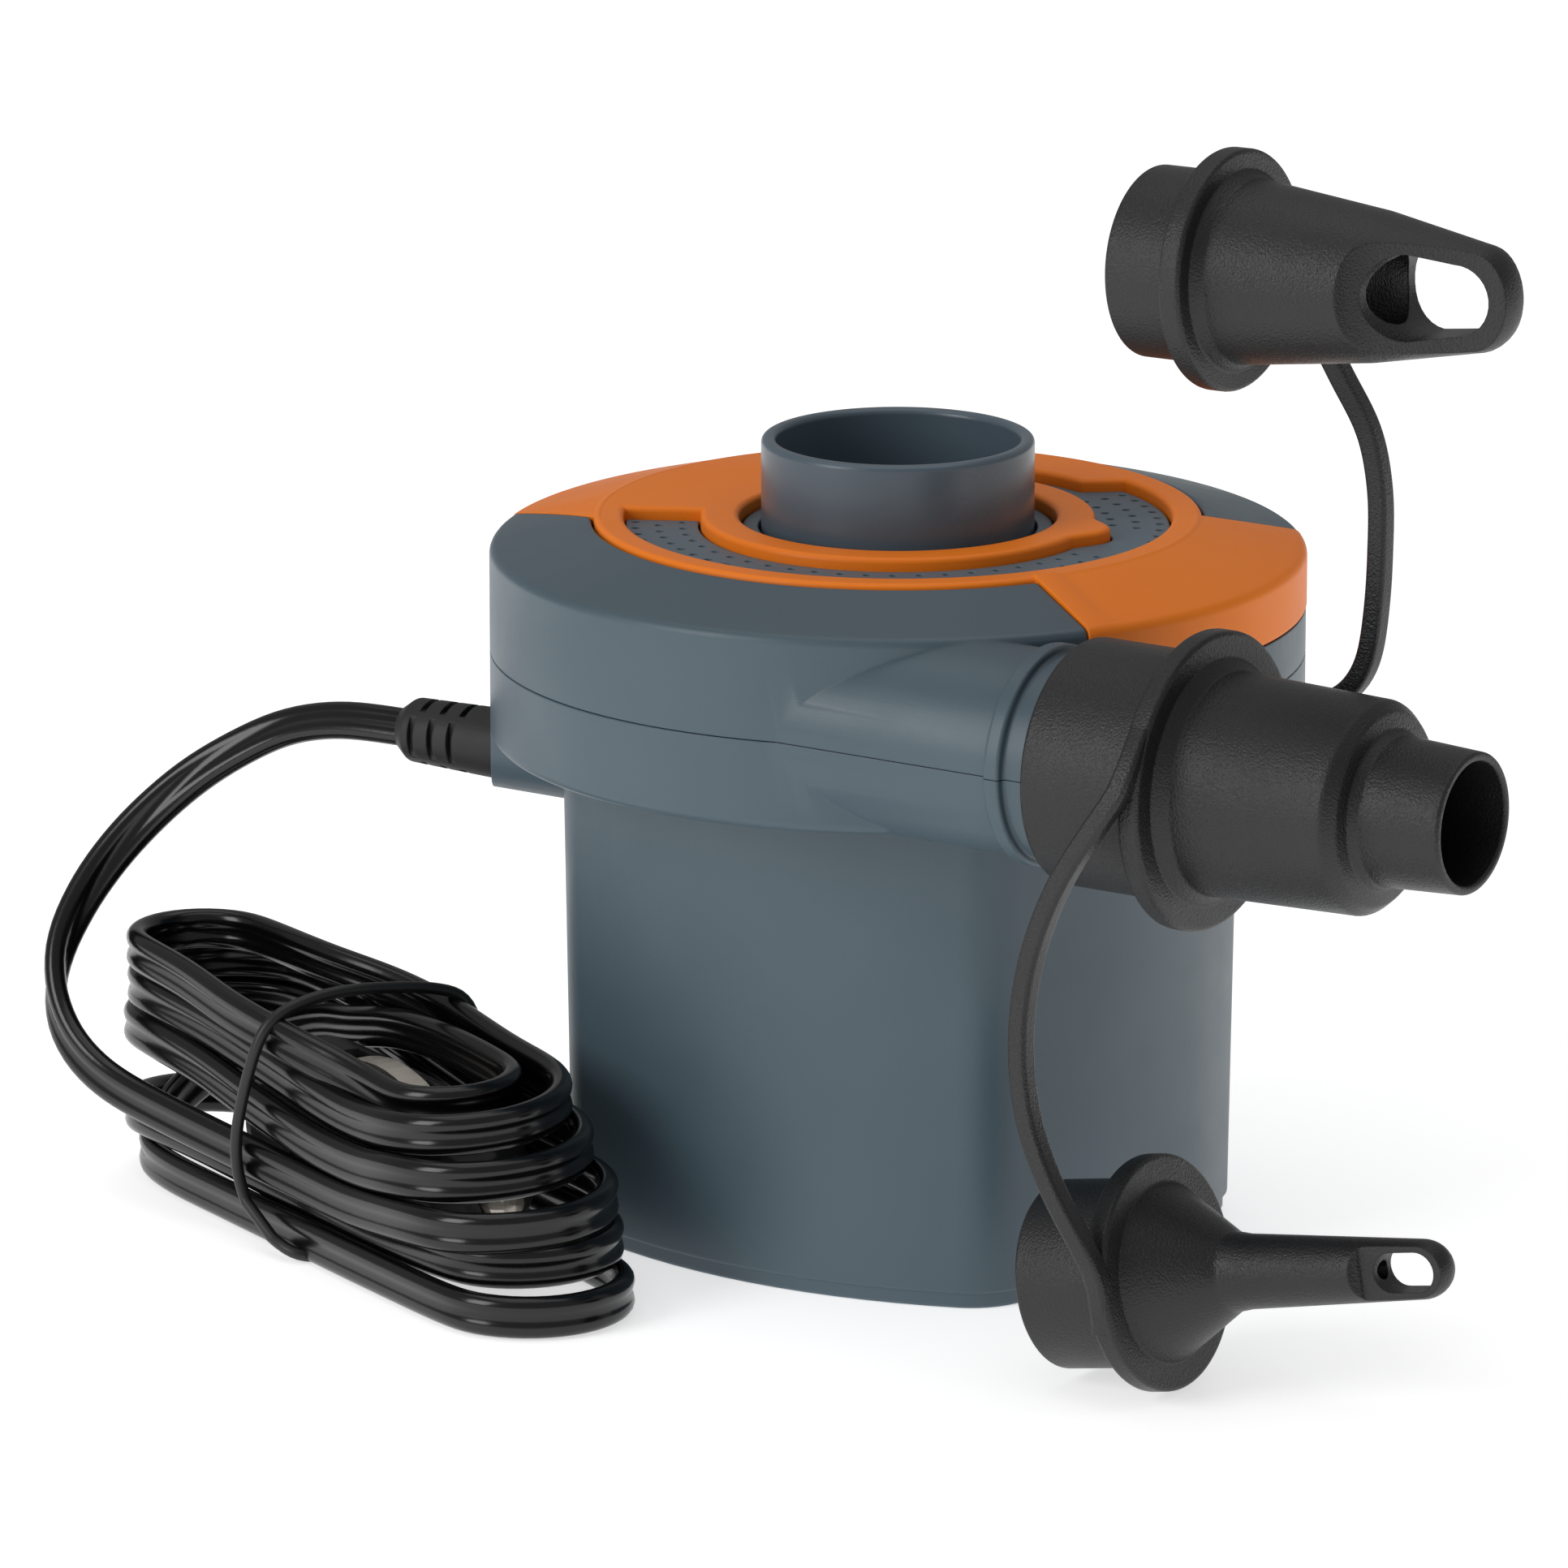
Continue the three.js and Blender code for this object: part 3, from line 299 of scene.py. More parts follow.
def filleted(profile, steps=5):
    """Rounds the corners of a closed outline. A point is (x, y) or (x, y, radius)."""
    points = []
    count = len(profile)
    for i, corner in enumerate(profile):
        here = Vector(corner[:2])
        radius = corner[2] if len(corner) > 2 else 0
        back = Vector(profile[i - 1][:2]) - here
        ahead = Vector(profile[(i + 1) % count][:2]) - here
        if radius <= 0 or back.length < 1e-6 or ahead.length < 1e-6:
            points.append(tuple(here))
            continue
        half = back.angle(ahead) / 2
        reach = min(radius / math.tan(half), back.length * 0.48, ahead.length * 0.48)
        radius = reach * math.tan(half)
        middle = here + (back.normalized() + ahead.normalized()).normalized() * radius / math.sin(half)
        start = here + back.normalized() * reach - middle
        end = here + ahead.normalized() * reach - middle
        sweep = start.angle_signed(end)
        for k in range(steps + 1):
            points.append(tuple(middle + Matrix.Rotation(-sweep * k / steps, 2) @ start))
    return points


def lathe(name, profile, along_x=False, centre=(0, 0), segments=ROUND, steps=5):
    """Turns a closed outline of (radius, height) points round Z, or round X at centre (y, z)."""
    outline = filleted(profile, steps)
    rows = len(outline)
    points = []
    for k in range(segments):
        a = 2 * math.pi * k / segments
        for r, h in outline:
            r = max(r, 0)
            if along_x:
                points.append((h, centre[0] + r * math.cos(a), centre[1] + r * math.sin(a)))
            else:
                points.append((centre[0] + r * math.cos(a), centre[1] + r * math.sin(a), h))
    faces = []
    for k in range(segments):
        following = (k + 1) % segments
        for i in range(rows):
            j = (i + 1) % rows
            faces.append((k * rows + i, following * rows + i, following * rows + j, k * rows + j))
    return mesh_piece(name, points, faces)


def rod(name, radius, low, high, centre=(0, 0), along_x=False, segments=MEDIUM):
    return lathe(name, [(0, low), (radius, low), (radius, high), (0, high)], along_x, centre, segments)


def loft(name, rings, closed=False):
    """Joins equal rings of points; the first and last are capped unless the loft is closed."""
    size = len(rings[0])
    points = [p for ring in rings for p in ring]
    faces = []
    for k in range(len(rings) if closed else len(rings) - 1):
        a, b = k * size, ((k + 1) % len(rings)) * size
        for i in range(size):
            j = (i + 1) % size
            faces.append((a + i, a + j, b + j, b + i))
    if not closed:
        faces.append(tuple(range(size))[::-1])
        faces.append(tuple(range(len(points) - size, len(points))))
    return mesh_piece(name, points, faces)


def block(name, low, high):
    """A box between two opposite corners."""
    rings = []
    for z in (low[2], high[2]):
        rings.append([(low[0], low[1], z), (high[0], low[1], z), (high[0], high[1], z), (low[0], high[1], z)])
    return loft(name, rings)


def combine(target, operation, *others):
    """Adds, cuts or keeps the common part with the others, which are used up."""
    for other in others:
        modifier = target.modifiers.new("combine", "BOOLEAN")
        modifier.operation = operation
        modifier.solver = "MANIFOLD"
        modifier.object = other
    freeze(target)
    for other in others:
        bpy.data.objects.remove(other)
    return target


def finish_surface(obj, material, angle=30):
    """One material and smooth shading with crisp creases."""
    obj.data.materials.clear()
    obj.data.materials.append(material)
    obj.data.shade_smooth()
    obj.data.set_sharp_from_angle(angle=math.radians(angle))
    weighted = obj.modifiers.new("weighted_normals", "WEIGHTED_NORMAL")
    weighted.keep_sharp = True
    return obj


def place_piece(obj, body, slot, *replaced):
    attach(obj, body)
    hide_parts(*replaced)
    return obj


def rounded_rims(obj, width, segments, angle):
    """Rounds the edges of a piece that are sharper than an angle in degrees."""
    bevel = obj.modifiers.new("rim", "BEVEL")
    bevel.width = width * MM
    bevel.segments = segments
    bevel.limit_method = "ANGLE"
    bevel.angle_limit = math.radians(angle)
    freeze(obj)


def spline(points, spacing):
    """A smooth line through the points, resampled at even spacing."""
    line = [Vector(p) for p in points]
    line = [2 * line[0] - line[1], *line, 2 * line[-1] - line[-2]]
    steps = 24
    dense = []
    for p0, p1, p2, p3 in zip(line, line[1:], line[2:], line[3:]):
        slope = p2 - p0
        square = 2 * p0 - 5 * p1 + 4 * p2 - p3
        cube = 3 * p1 - p0 - 3 * p2 + p3
        for k in range(steps):
            t = k / steps
            dense.append(0.5 * (2 * p1 + slope * t + square * t**2 + cube * t**3))
    dense.append(line[-2])
    lengths = [0.0]
    for a, b in zip(dense, dense[1:]):
        lengths.append(lengths[-1] + (b - a).length)
    count = max(2, round(lengths[-1] / spacing))
    even = []
    j = 0
    for i in range(count + 1):
        target = lengths[-1] * i / count
        while j < len(lengths) - 2 and lengths[j + 1] < target:
            j += 1
        span = lengths[j + 1] - lengths[j]
        even.append(dense[j].lerp(dense[j + 1], (target - lengths[j]) / span if span else 0))
    return even


def relaxed(points, rounds):
    """Evens out the curvature of a line, its ends kept."""
    line = [p.copy() for p in points]
    for _ in range(rounds):
        line = [line[0], *((a + 2 * b + c) / 4 for a, b, c in zip(line, line[1:], line[2:])), line[-1]]
    return line


def sweep(name, line, section, up, closed=False, twist=None):
    """Sweeps a section of (side, up) points along a line. Its top faces up, but for a twist at each step."""
    rings = []
    count = len(line)
    for i, here in enumerate(line):
        before = line[i - 1] if i or closed else here
        after = line[(i + 1) % count] if i < count - 1 or closed else here
        tangent = (after - before).normalized()
        side = tangent.cross(up).normalized()
        if twist:
            side = Matrix.Rotation(twist(i), 3, tangent) @ side
        top = side.cross(tangent)
        rings.append([tuple(here + side * x + top * y) for x, y in section])
    return loft(name, rings, closed)


def rounded_box_section(width, height, radius):
    w, h = width / 2, height / 2
    return filleted([(-w, -h, radius), (w, -h, radius), (w, h, radius), (-w, h, radius)], 4)


def round_section(radius, sides):
    return [polar(radius, 360 * k / sides) for k in range(sides)]


# ---------------------------------------------------------------- cord, its route and the hank
FREE_ROUTE = [
    (-61.2, -22, 61), (-69.2, -22, 60.8), (-74.8, -22, 60), (-80.6, -22.2, 58.3),
    (-86.2, -23.5, 55.4), (-92.5, -25.8, 51), (-97.8, -29.4, 45.4), (-101.4, -33.5, 39.6),
    (-103.2, -37.6, 34), (-103.4, -41.4, 28.6), (-101.6, -44.4, 23.4), (-98, -46.4, 19.2),
    (-93.2, -47.6, 16.2), (-87.6, -48.7, 14.4),
]


def from_hank(s, t, z):
    """A point along and across the hank, in the frame of the whole model."""
    c, d = math.cos(HANK_ANGLE), math.sin(HANK_ANGLE)
    return (s * c - t * d, s * d + t * c, z)


def fold(s, t, radius, z_start, z_end, right, steps=6):
    """Half a turn round (s, t): near to far side at the right end, far to near side at the left end."""
    start = -90 if right else 90
    points = []
    for k in range(steps + 1):
        x, y = polar(radius, start + 180 * k / steps)
        points.append((s + x, t + y, z_start + (z_end - z_start) * k / steps))
    return points


# The turns: from the pump into the third level, up to the top one, down inside to the floor, and up again
# to the plug.
HANK_ROUTE = [
    (-50, -78.4, 12.9), (-38, -76.3, 11.5), (-26, -74.6, 10.4), (-12, -74.1, 10.1),
    *fold(4.2, -61.2, 12.9, 11.6, 13.8, right=True),
    (-14, -48.4, 14.3), (-32, -48.4, 16.2), (-48, -48.3, 18.2),
    *fold(-65, -61.2, 12.9, 19.2, 20.2, right=False),
    (-50, -74.1, 19.2), (-36, -74.1, 17.3), (-22, -74.1, 15.8), (-11, -74, 15.6),
    *fold(-2, -61, 12.9, 16.6, 19.2, right=True),
    (-14, -48.4, 19.9), (-32, -48.4, 22.2), (-48, -48.3, 24),
    *fold(-65, -60.9, 12.6, 24.7, 25.2, right=False),
    (-50, -73, 24.3), (-36, -72.4, 22.5), (-22, -72.2, 20.8), (-14, -72.2, 20.5),
    *fold(-6, -60.4, 11.8, 21.2, 24.6, right=True),
    (-16, -48.6, 25.3), (-30, -48.8, 27), (-40, -50.4, 28.3), (-51, -54.4, 29.8),
    *fold(-65, -65.2, 9, 30.4, 30.7, right=False),
    (-54, -74.3, 30.1), (-42, -74.5, 28.7), (-34, -74, 27.8), (-26, -72.4, 26.4),
    (-18, -70, 24.6),
    *fold(-9.5, -61.2, 8.1, 23.6, 24.8, right=True),
    (-22, -53.2, 25.4), (-36, -52.9, 24.4), (-48, -52.4, 21.8), (-59, -51.6, 19.4),
    (-67.5, -53.8, 16), (-72.8, -59.4, 11.6), (-73.4, -66, 6.9), (-69.2, -71.6, 3.4),
    (-60, -73.9, 2.9), (-44, -74.1, 2.8), (-26, -74.1, 2.8), (-8, -74.1, 2.8),
    *fold(10.6, -61.7, 12, 2.8, 2.8, right=True),
    (-4, -48.9, 2.8), (-20, -48.4, 2.9), (-36, -48.4, 3), (-48, -48.4, 4),
    *fold(-65, -61.2, 12.9, 5.2, 8.8, right=False),
    (-52, -73.7, 8.7), (-40, -72.6, 7.8), (-28, -71.6, 6.8), (-12, -71.3, 6.3),
    *fold(6.4, -60, 11.4, 7.4, 8.4, right=True),
    (-10, -48.4, 8.4), (-26, -48.4, 8.6), (-40, -48.9, 9.9), (-50, -49.4, 10.8),
    *fold(-60, -55, 5.3, 11.4, PLUG_Z, right=False),
    (-55.5, HANK_T, PLUG_Z), (-51, HANK_T, PLUG_Z),
]

CORD_STEP = 1.6
cord_line = spline([*FREE_ROUTE, *(from_hank(*p) for p in HANK_ROUTE)], CORD_STEP)
cord_line = relaxed(cord_line, 3)


def cord_section():
    """Two round cores side by side with a shallow groove between them."""
    core = CORD_THICKNESS / 2
    shift = CORD_WIDTH / 2 - core
    waist, waist_reach = 0.92, 0.35
    steps = 12
    half = []
    for k in range(steps + 1):
        y = (CORD_WIDTH / 2) * math.cos(math.pi * k / steps)
        across = math.sqrt(max(0, core**2 - (abs(y) - shift) ** 2)) if abs(y) > waist_reach else 0
        half.append((max(across, waist) if abs(y) < shift else across, y))
    return half[:-1] + [(-x, y) for x, y in half[:0:-1]]


TWIST_AT_EXIT = 50  # degrees
TWIST_FADES_OVER = 45  # steps of the line


def cord_twist(step):
    """The flat cord leaves the strain relief turned about its length and straightens out on its way down."""
    left = max(0.0, 1 - step / TWIST_FADES_OVER)
    return math.radians(TWIST_AT_EXIT) * left * left * (3 - 2 * left)


power_cord = sweep("cord_jacket", cord_line, cord_section(), Vector((0, 0, 1)), twist=cord_twist)
finish_surface(power_cord, JACKET, 60)


# ---------------------------------------------------------------- canister and head
def canister_outline(inset, steps):
    """A rectangle with round corners and bulged faces, each of the eight arcs drawn in equal steps."""
    half_x, half_y, face_radius, corner_radius = 38.1, 36.3, 75, 10
    dx, dy = face_radius - half_x, face_radius - half_y
    reach = face_radius - corner_radius
    k = dx / dy
    m = (dx * dx - dy * dy) / (2 * dy)
    a, b, c = 1 + k * k, 2 * k * (m + dy), (m + dy) ** 2 - reach * reach
    cx = (-b + math.sqrt(b * b - 4 * a * c)) / (2 * a)
    cy = k * cx + m
    alpha = math.degrees(math.atan2(cy + dy, cx))
    beta = math.degrees(math.atan2(cy, cx + dx))
    face, corner = face_radius - inset, corner_radius - inset
    stretches = [
        (face, -beta, beta, -dx, 0), (corner, beta, alpha, cx, cy),
        (face, alpha, 180 - alpha, 0, -dy), (corner, 180 - alpha, 180 - beta, -cx, cy),
        (face, 180 - beta, 180 + beta, dx, 0), (corner, 180 + beta, 180 + alpha, -cx, -cy),
        (face, 180 + alpha, 360 - alpha, 0, dy), (corner, 360 - alpha, 360 - beta, cx, -cy),
    ]
    points = []
    for radius, start, end, x0, y0 in stretches:
        for i in range(steps):
            x, y = polar(radius, start + (end - start) * i / steps)
            points.append((x0 + x, y0 + y))
    return points


def canister_loft(name, levels):
    """Levels are (z, inset); the outline widens slowly upwards."""
    growth = 0.023
    centre_x = 0.7
    rings = []
    for z, inset in levels:
        f = 1 + growth * z / HEAD_BOTTOM
        rings.append([(x * f + centre_x, y * f, z) for x, y in canister_outline(inset, 14)])
    return loft(name, rings)


def outlet_tube(name):
    """The solid outlet tube with its stop rib, outside the head's room."""
    start = 5
    rib_from, rib_to, rib_radius = 45.3, 47.6, 13.9
    tube = lathe(
        name,
        [
            (0, start), (OUTLET_RADIUS, start), (OUTLET_RADIUS, rib_from, 0.3),
            (rib_radius, rib_from, 0.5), (rib_radius, rib_to, 0.5), (OUTLET_RADIUS, rib_to, 0.3),
            (OUTLET_RADIUS, OUTLET_END, 0.3), (0, OUTLET_END),
        ],
        along_x=True,
        centre=(OUTLET_Y, OUTLET_Z),
        segments=MEDIUM,
    )
    return combine(tube, "DIFFERENCE", rod("inside", HEAD_INSIDE + 0.5, 50, 110, segments=ROUND))


def outlet_bore(name):
    """The tube's bore. Within the head it stops short of the head's floor."""
    head_side = 37
    bore = rod(name, OUTLET_BORE, 8, OUTLET_END + 1, (OUTLET_Y, OUTLET_Z), along_x=True)
    keep = combine(
        block("keep", (0, -80, HEAD_BOTTOM + WALL), (head_side, 80, 160)),
        "UNION",
        block("keep_outside", (head_side - 1, -80, 40), (80, 80, 160)),
    )
    return combine(bore, "INTERSECT", keep)


SCREW_PLACES = [polar(46.5, angle) for angle in (0, 90, 180, 235)]
SCREW_BOSS = 3
SCREW_HEAD_ROOM = 2.7
SCREW_WAY = 1.6


def screw_rods(name, radius, low, high):
    return [rod(name, radius, low, high, place, segments=24) for place in SCREW_PLACES]


def lower_housing():
    foot = [(0, 1.0), (0.12, 0.72), (0.4, 0.55), (2.0, 0.55), (2.1, 0.5), (2.1, 0.22), (2.3, 0.05), (2.6, 0)]
    canister = canister_loft("lower_housing_body", [*foot, (34, 0), (HEAD_BOTTOM + 1, 0)])
    top = SEAM - SEAM_GAP
    drum = lathe(
        "drum",
        [
            (0, HEAD_BOTTOM),
            (HEAD_RADIUS, HEAD_BOTTOM, 1.4),
            (HEAD_RADIUS, top, 0.12),
            (0, top),
        ],
    )
    tube = combine(outlet_tube("low_tube"), "INTERSECT", block("below", (-80, -80, 20), (80, 80, top)))
    # A boss under the head, flush with its wall, holds the strain relief.
    boss_radius, boss_z, boss_inner = 7.3, 62.8, -31
    boss = rod("boss", boss_radius, -70, boss_inner, (GLAND_Y, boss_z), along_x=True)
    bridge_low = (-70, GLAND_Y - boss_radius, boss_z)
    bridge = block("bridge", bridge_low, (boss_inner, GLAND_Y + boss_radius, HEAD_BOTTOM + 1.6))
    combine(boss, "UNION", bridge)
    combine(boss, "INTERSECT", rod("flush", HEAD_RADIUS - 0.02, 50, SEAM - 1, segments=ROUND))
    body = combine(canister, "UNION", drum, tube, boss)
    floor_thickness = 2.4
    cavity = canister_loft("cavity", [(floor_thickness, WALL), (HEAD_BOTTOM + WALL + 1, WALL)])
    room = rod("room", HEAD_INSIDE, HEAD_BOTTOM + WALL, SEAM + 5, segments=ROUND)
    combine(body, "DIFFERENCE", cavity, room, outlet_bore("bore"))
    combine(body, "UNION", *screw_rods("screw_boss", SCREW_BOSS, HEAD_BOTTOM + 0.5, top))
    holes = screw_rods("recess", SCREW_HEAD_ROOM, HEAD_BOTTOM - 5, 67)
    holes += screw_rods("way", SCREW_WAY, HEAD_BOTTOM, SEAM + 5)
    neck_start, neck_end = GLAND_NECK
    seat = RELIEF_RADIUS + 0.15
    socket = [
        (seat, -70, neck_start),
        (3.75, neck_start - 1, neck_end + 1),
        (seat, neck_end, GLAND_ROOM_END),
        (3.2, GLAND_ROOM_END - 1, boss_inner + 1),
    ]
    for radius, x0, x1 in socket:
        holes.append(rod("socket", radius, x0, x1, (GLAND_Y, GLAND_Z), along_x=True, segments=32))
    combine(body, "DIFFERENCE", *holes)
    return finish_surface(body, HOUSING)


# The wings: each side edge is a straight line seen from above, given by two of its points.
WING_SIDES = {
    "right": ((polar(36.5, -31), polar(70, -29.4)), ((31.6, 19), (47, 49.8))),
    "left": ((polar(36.5, 153.2), polar(70, 151)), ((-29.5, -23.4), (-59.4, -9))),
}
WING_BOTTOM = 82
WING_GAP = 0.25


def line_angle(line, radius):
    """The angle, in degrees, at which a line seen from above crosses a circle round the axis."""
    start, end = Vector(line[0]), Vector(line[1])
    along = (end - start).normalized()
    b = start.dot(along)
    reach = -b + math.sqrt(b * b + radius**2 - start.length_squared)
    point = start + along * reach
    return math.degrees(math.atan2(point.y, point.x)) % 360


def cover_path(wall_bottom):
    """The cover's outer surface as (radius, z): down the shoulder, over the rim and down the wall."""
    inner = 37.9
    path = filleted(
        [
            (inner, SHOULDER_TOP - SHOULDER_SLOPE * (inner - SHOULDER_RADIUS)),
            (HEAD_RADIUS, WALL_TOP, 1.3),
            (HEAD_RADIUS, wall_bottom),
            (inner, wall_bottom),
        ],
        6,
    )[:-1]
    line = [path[0]]
    for a, b in zip(path, path[1:]):
        steps = max(1, math.ceil(math.dist(a, b) / 1.2))
        for k in range(1, steps + 1):
            line.append((a[0] + (b[0] - a[0]) * k / steps, a[1] + (b[1] - a[1]) * k / steps))
    return line


def wing_solid(name, side, above, below, margin, wall_bottom):
    """A shell over the wing's area, down to wall_bottom and wider than it by the margin.

    above(distance to its front edge, radius) is how far it stands proud, and below how deep it goes.
    """
    path = cover_path(wall_bottom)
    columns = 72
    tops, bottoms = [], []
    for i, (r, z) in enumerate(path):
        ahead, behind = path[min(i + 1, len(path) - 1)], path[max(i - 1, 0)]
        out = Vector((behind[1] - ahead[1], ahead[0] - behind[0])).normalized()
        start, end = (line_angle(edge, r) for edge in WING_SIDES[side])
        end += 360 if end < start else 0
        grow = math.degrees(margin / r)
        start, end = start - grow, end + grow
        for k in range(columns + 1):
            f = k / columns
            angle = start + (end - start) * f
            front = f if side == "right" else 1 - f
            distance = front * math.radians(end - start) * r
            for rows, offset in ((tops, above(distance, r)), (bottoms, -below)):
                x, y = polar(r + out.x * offset, angle)
                rows.append((x, y, z + out.y * offset))
    width = columns + 1
    height = len(path)
    points = tops + bottoms
    faces = []
    for i in range(height - 1):
        for k in range(columns):
            a, b = i * width + k, (i + 1) * width + k
            faces.append((a, a + 1, b + 1, b))
            c, d = a + len(tops), b + len(tops)
            faces.append((c, d, d + 1, c + 1))
    border = list(range(width))
    border += [i * width + columns for i in range(1, height)]
    border += [(height - 1) * width + k for k in range(columns - 1, -1, -1)]
    border += [i * width for i in range(height - 2, 0, -1)]
    for a, b in zip(border, border[1:] + border[:1]):
        faces.append((a, a + len(tops), b + len(tops), b))
    return mesh_piece(name, points, faces)


def wing_relief(distance, radius):
    """The right wing has a raised strip along its front edge that fades into a shallow dish."""
    strip = 1 / (1 + math.exp((distance - 3.4) * 2.2))
    fade = min(1, max(0, (HEAD_RADIUS + 4 - radius) / 10))
    return 0.1 + 0.32 * strip * fade


def head_cover():
    under_meets = SHOULDER_RADIUS + (SHOULDER_TOP - SHOULDER_THICKNESS - DECK_BOTTOM) / SHOULDER_SLOPE
    under_wall = SHOULDER_TOP - SHOULDER_SLOPE * (HEAD_INSIDE - SHOULDER_RADIUS) - SHOULDER_THICKNESS
    low = SEAM + SEAM_GAP
    neck, neck_top = 19.9, 91.6
    body = lathe(
        "head_cover_shell",
        [
            (COLLAR_OUTER + 0.3, DECK_BOTTOM), (under_meets, DECK_BOTTOM),
            (HEAD_INSIDE, under_wall), (HEAD_INSIDE, low), (HEAD_RADIUS, low, 0.12),
            (HEAD_RADIUS, WALL_TOP, 1.3), (SHOULDER_RADIUS, SHOULDER_TOP, 0.5),
            (SHOULDER_RADIUS, DECK_TOP), (neck, DECK_TOP), (neck, neck_top, 0.5),
            (COLLAR_OUTER + 0.3, neck_top, 0.3),
        ],
    )
    tube = combine(outlet_tube("high_tube"), "INTERSECT", block("above", (-80, -80, low), (80, 80, 120)))
    combine(body, "UNION", tube, *screw_rods("screw_boss", SCREW_BOSS, low, DECK_BOTTOM - 0.6))
    pockets = []
    for side in WING_SIDES:
        bottom = WING_BOTTOM - WING_GAP
        pockets.append(wing_solid(f"pocket_{side}", side, lambda distance, r: 2.0, 1.5, WING_GAP, bottom))
    combine(body, "DIFFERENCE", outlet_bore("bore"), *pockets)
    cutters = screw_rods("way", SCREW_WAY, SEAM - 1, 83.6)
    vent_width, vent_pitch = 32, 40
    for k in range(5):
        start = -146 + vent_pitch * k
        cutters.append(sector("vent", 27.4, 32.6, start, start + vent_width, DECK_BOTTOM - 1, DECK_TOP + 1))
    combine(body, "DIFFERENCE", *cutters)
    return finish_surface(body, HOUSING)


def sector(name, inner, outer, start, end, low, high):
    """A solid stretch of a flat ring."""
    steps = 24
    angles = [start + (end - start) * k / steps for k in range(steps + 1)]
    outline = [polar(inner, a) for a in angles] + [polar(outer, a) for a in reversed(angles)]
    return loft(name, [[(x, y, z) for x, y in outline] for z in (low, high)])


def plate(name, outlines, low, high, bevel, material):
    """A flat plate from closed outlines, holes among them, with its rims rounded."""
    curve = bpy.data.curves.new(name, "CURVE")
    curve.dimensions = "2D"
    curve.fill_mode = "BOTH"
    curve.extrude = ((high - low) / 2 - bevel) * MM
    curve.bevel_depth = bevel * MM
    curve.bevel_resolution = 3
    curve.offset = -bevel * MM
    for outline in outlines:
        part = curve.splines.new("POLY")
        part.points.add(len(outline) - 1)
        for point, (x, y) in zip(part.points, outline):
            point.co = (x * MM, y * MM, 0, 1)
        part.use_cyclic_u = True
    source = bpy.data.objects.new(name + "_outline", curve)
    scene.collection.objects.link(source)
    mesh = bpy.data.meshes.new_from_object(source.evaluated_get(bpy.context.evaluated_depsgraph_get()))
    bpy.data.objects.remove(source)
    mesh.transform(Matrix.Translation((0, 0, (low + high) / 2 * MM)))
    obj = bpy.data.objects.new(name, mesh)
    scene.collection.objects.link(obj)
    return finish_surface(obj, material)


def arc_points(radius, start, end, spacing=2.0):
    steps = max(2, math.ceil(abs(end - start) / spacing))
    return [polar(radius, start + (end - start) * k / steps) for k in range(steps + 1)]


def recess_outline(shrink):
    """The opening between the two rings. The inner ring has a soft point, the outer one is wider behind."""
    inner, outer = INNER_RING[1] + shrink, OUTER_RING[0] - shrink
    narrow = WIDE_RING_INNER - shrink
    margin = math.degrees(shrink / 30)
    low, high = BLOCK_TO - 360 + margin, BLOCK_FROM - margin
    outer_edge = arc_points(outer, low, WIDE_FROM - 2)
    outer_edge[1] = (*outer_edge[1], 1.2)
    step = arc_points(narrow, WIDE_FROM + 3, high)
    point_radius, point_width = 29.3 + shrink, 12 + margin
    back = arc_points(inner, high, POINT_ANGLE + point_width)
    point = [(*polar(point_radius, POINT_ANGLE), 4)]
    front = arc_points(inner, POINT_ANGLE - point_width, low)
    return filleted([*outer_edge, *step, *back, *point, *front], 4)


def orange_trim():
    rings = plate(
        "orange_trim_rings",
        [arc_points(OUTER_RING[1], 0, 358), recess_outline(0), arc_points(INNER_RING[0], 0, 358)],
        TRIM_BOTTOM,
        TRIM_TOP,
        0.7,
        ORANGE,
    )
    wings = [
        wing_solid("wing_right", "right", wing_relief, 1.2, 0, WING_BOTTOM),
        wing_solid("wing_left", "left", lambda distance, r: 0.1, 1.2, 0, WING_BOTTOM),
    ]
    for wing in wings:
        rounded_rims(wing, 0.3, 3, 50)
    joined = bmesh.new()
    for part in (rings, *wings):
        joined.from_mesh(part.data)
    joined.to_mesh(rings.data)
    joined.free()
    for wing in wings:
        bpy.data.objects.remove(wing)
    return finish_surface(rings, ORANGE, 40)


def vent_grille():
    """A crescent plate with three rows of holes, which leave out the ring's point and the narrow stretch."""
    hole_radius = 0.52
    outlines = [recess_outline(0.3)]
    rows = ((27.3, 0), (30.4, 0.5), (33.4, 0))
    spacing = 3.35
    for radius, phase in rows:
        step = math.degrees(spacing / radius)
        angle = BLOCK_TO - 360 + 2.5 + phase * step
        limit = WIDE_FROM - 3 if radius > 29 else BLOCK_FROM - 3
        while angle < limit:
            near_point = radius < 30.5 and abs(angle - POINT_ANGLE) < 13
            if not near_point:
                cx, cy = polar(radius, angle)
                outlines.append([(cx + x, cy + y) for x, y in round_section(hole_radius, 14)])
            angle += step
    return plate("vent_grille_plate", outlines, GRILLE_BOTTOM, GRILLE_TOP, 0.12, GRILLE)


def intake_collar():
    foot, foot_bottom, foot_top = 21, 85.9, 87.5
    tube = lathe(
        "intake_collar_tube",
        [
            (COLLAR_INNER, foot_bottom), (foot, foot_bottom, 0.3), (foot, foot_top, 0.3),
            (COLLAR_OUTER, foot_top), (COLLAR_OUTER, COLLAR_TOP, 0.75),
            (COLLAR_INNER, COLLAR_TOP, 0.75),
        ],
    )
    return finish_surface(tube, COLLAR)


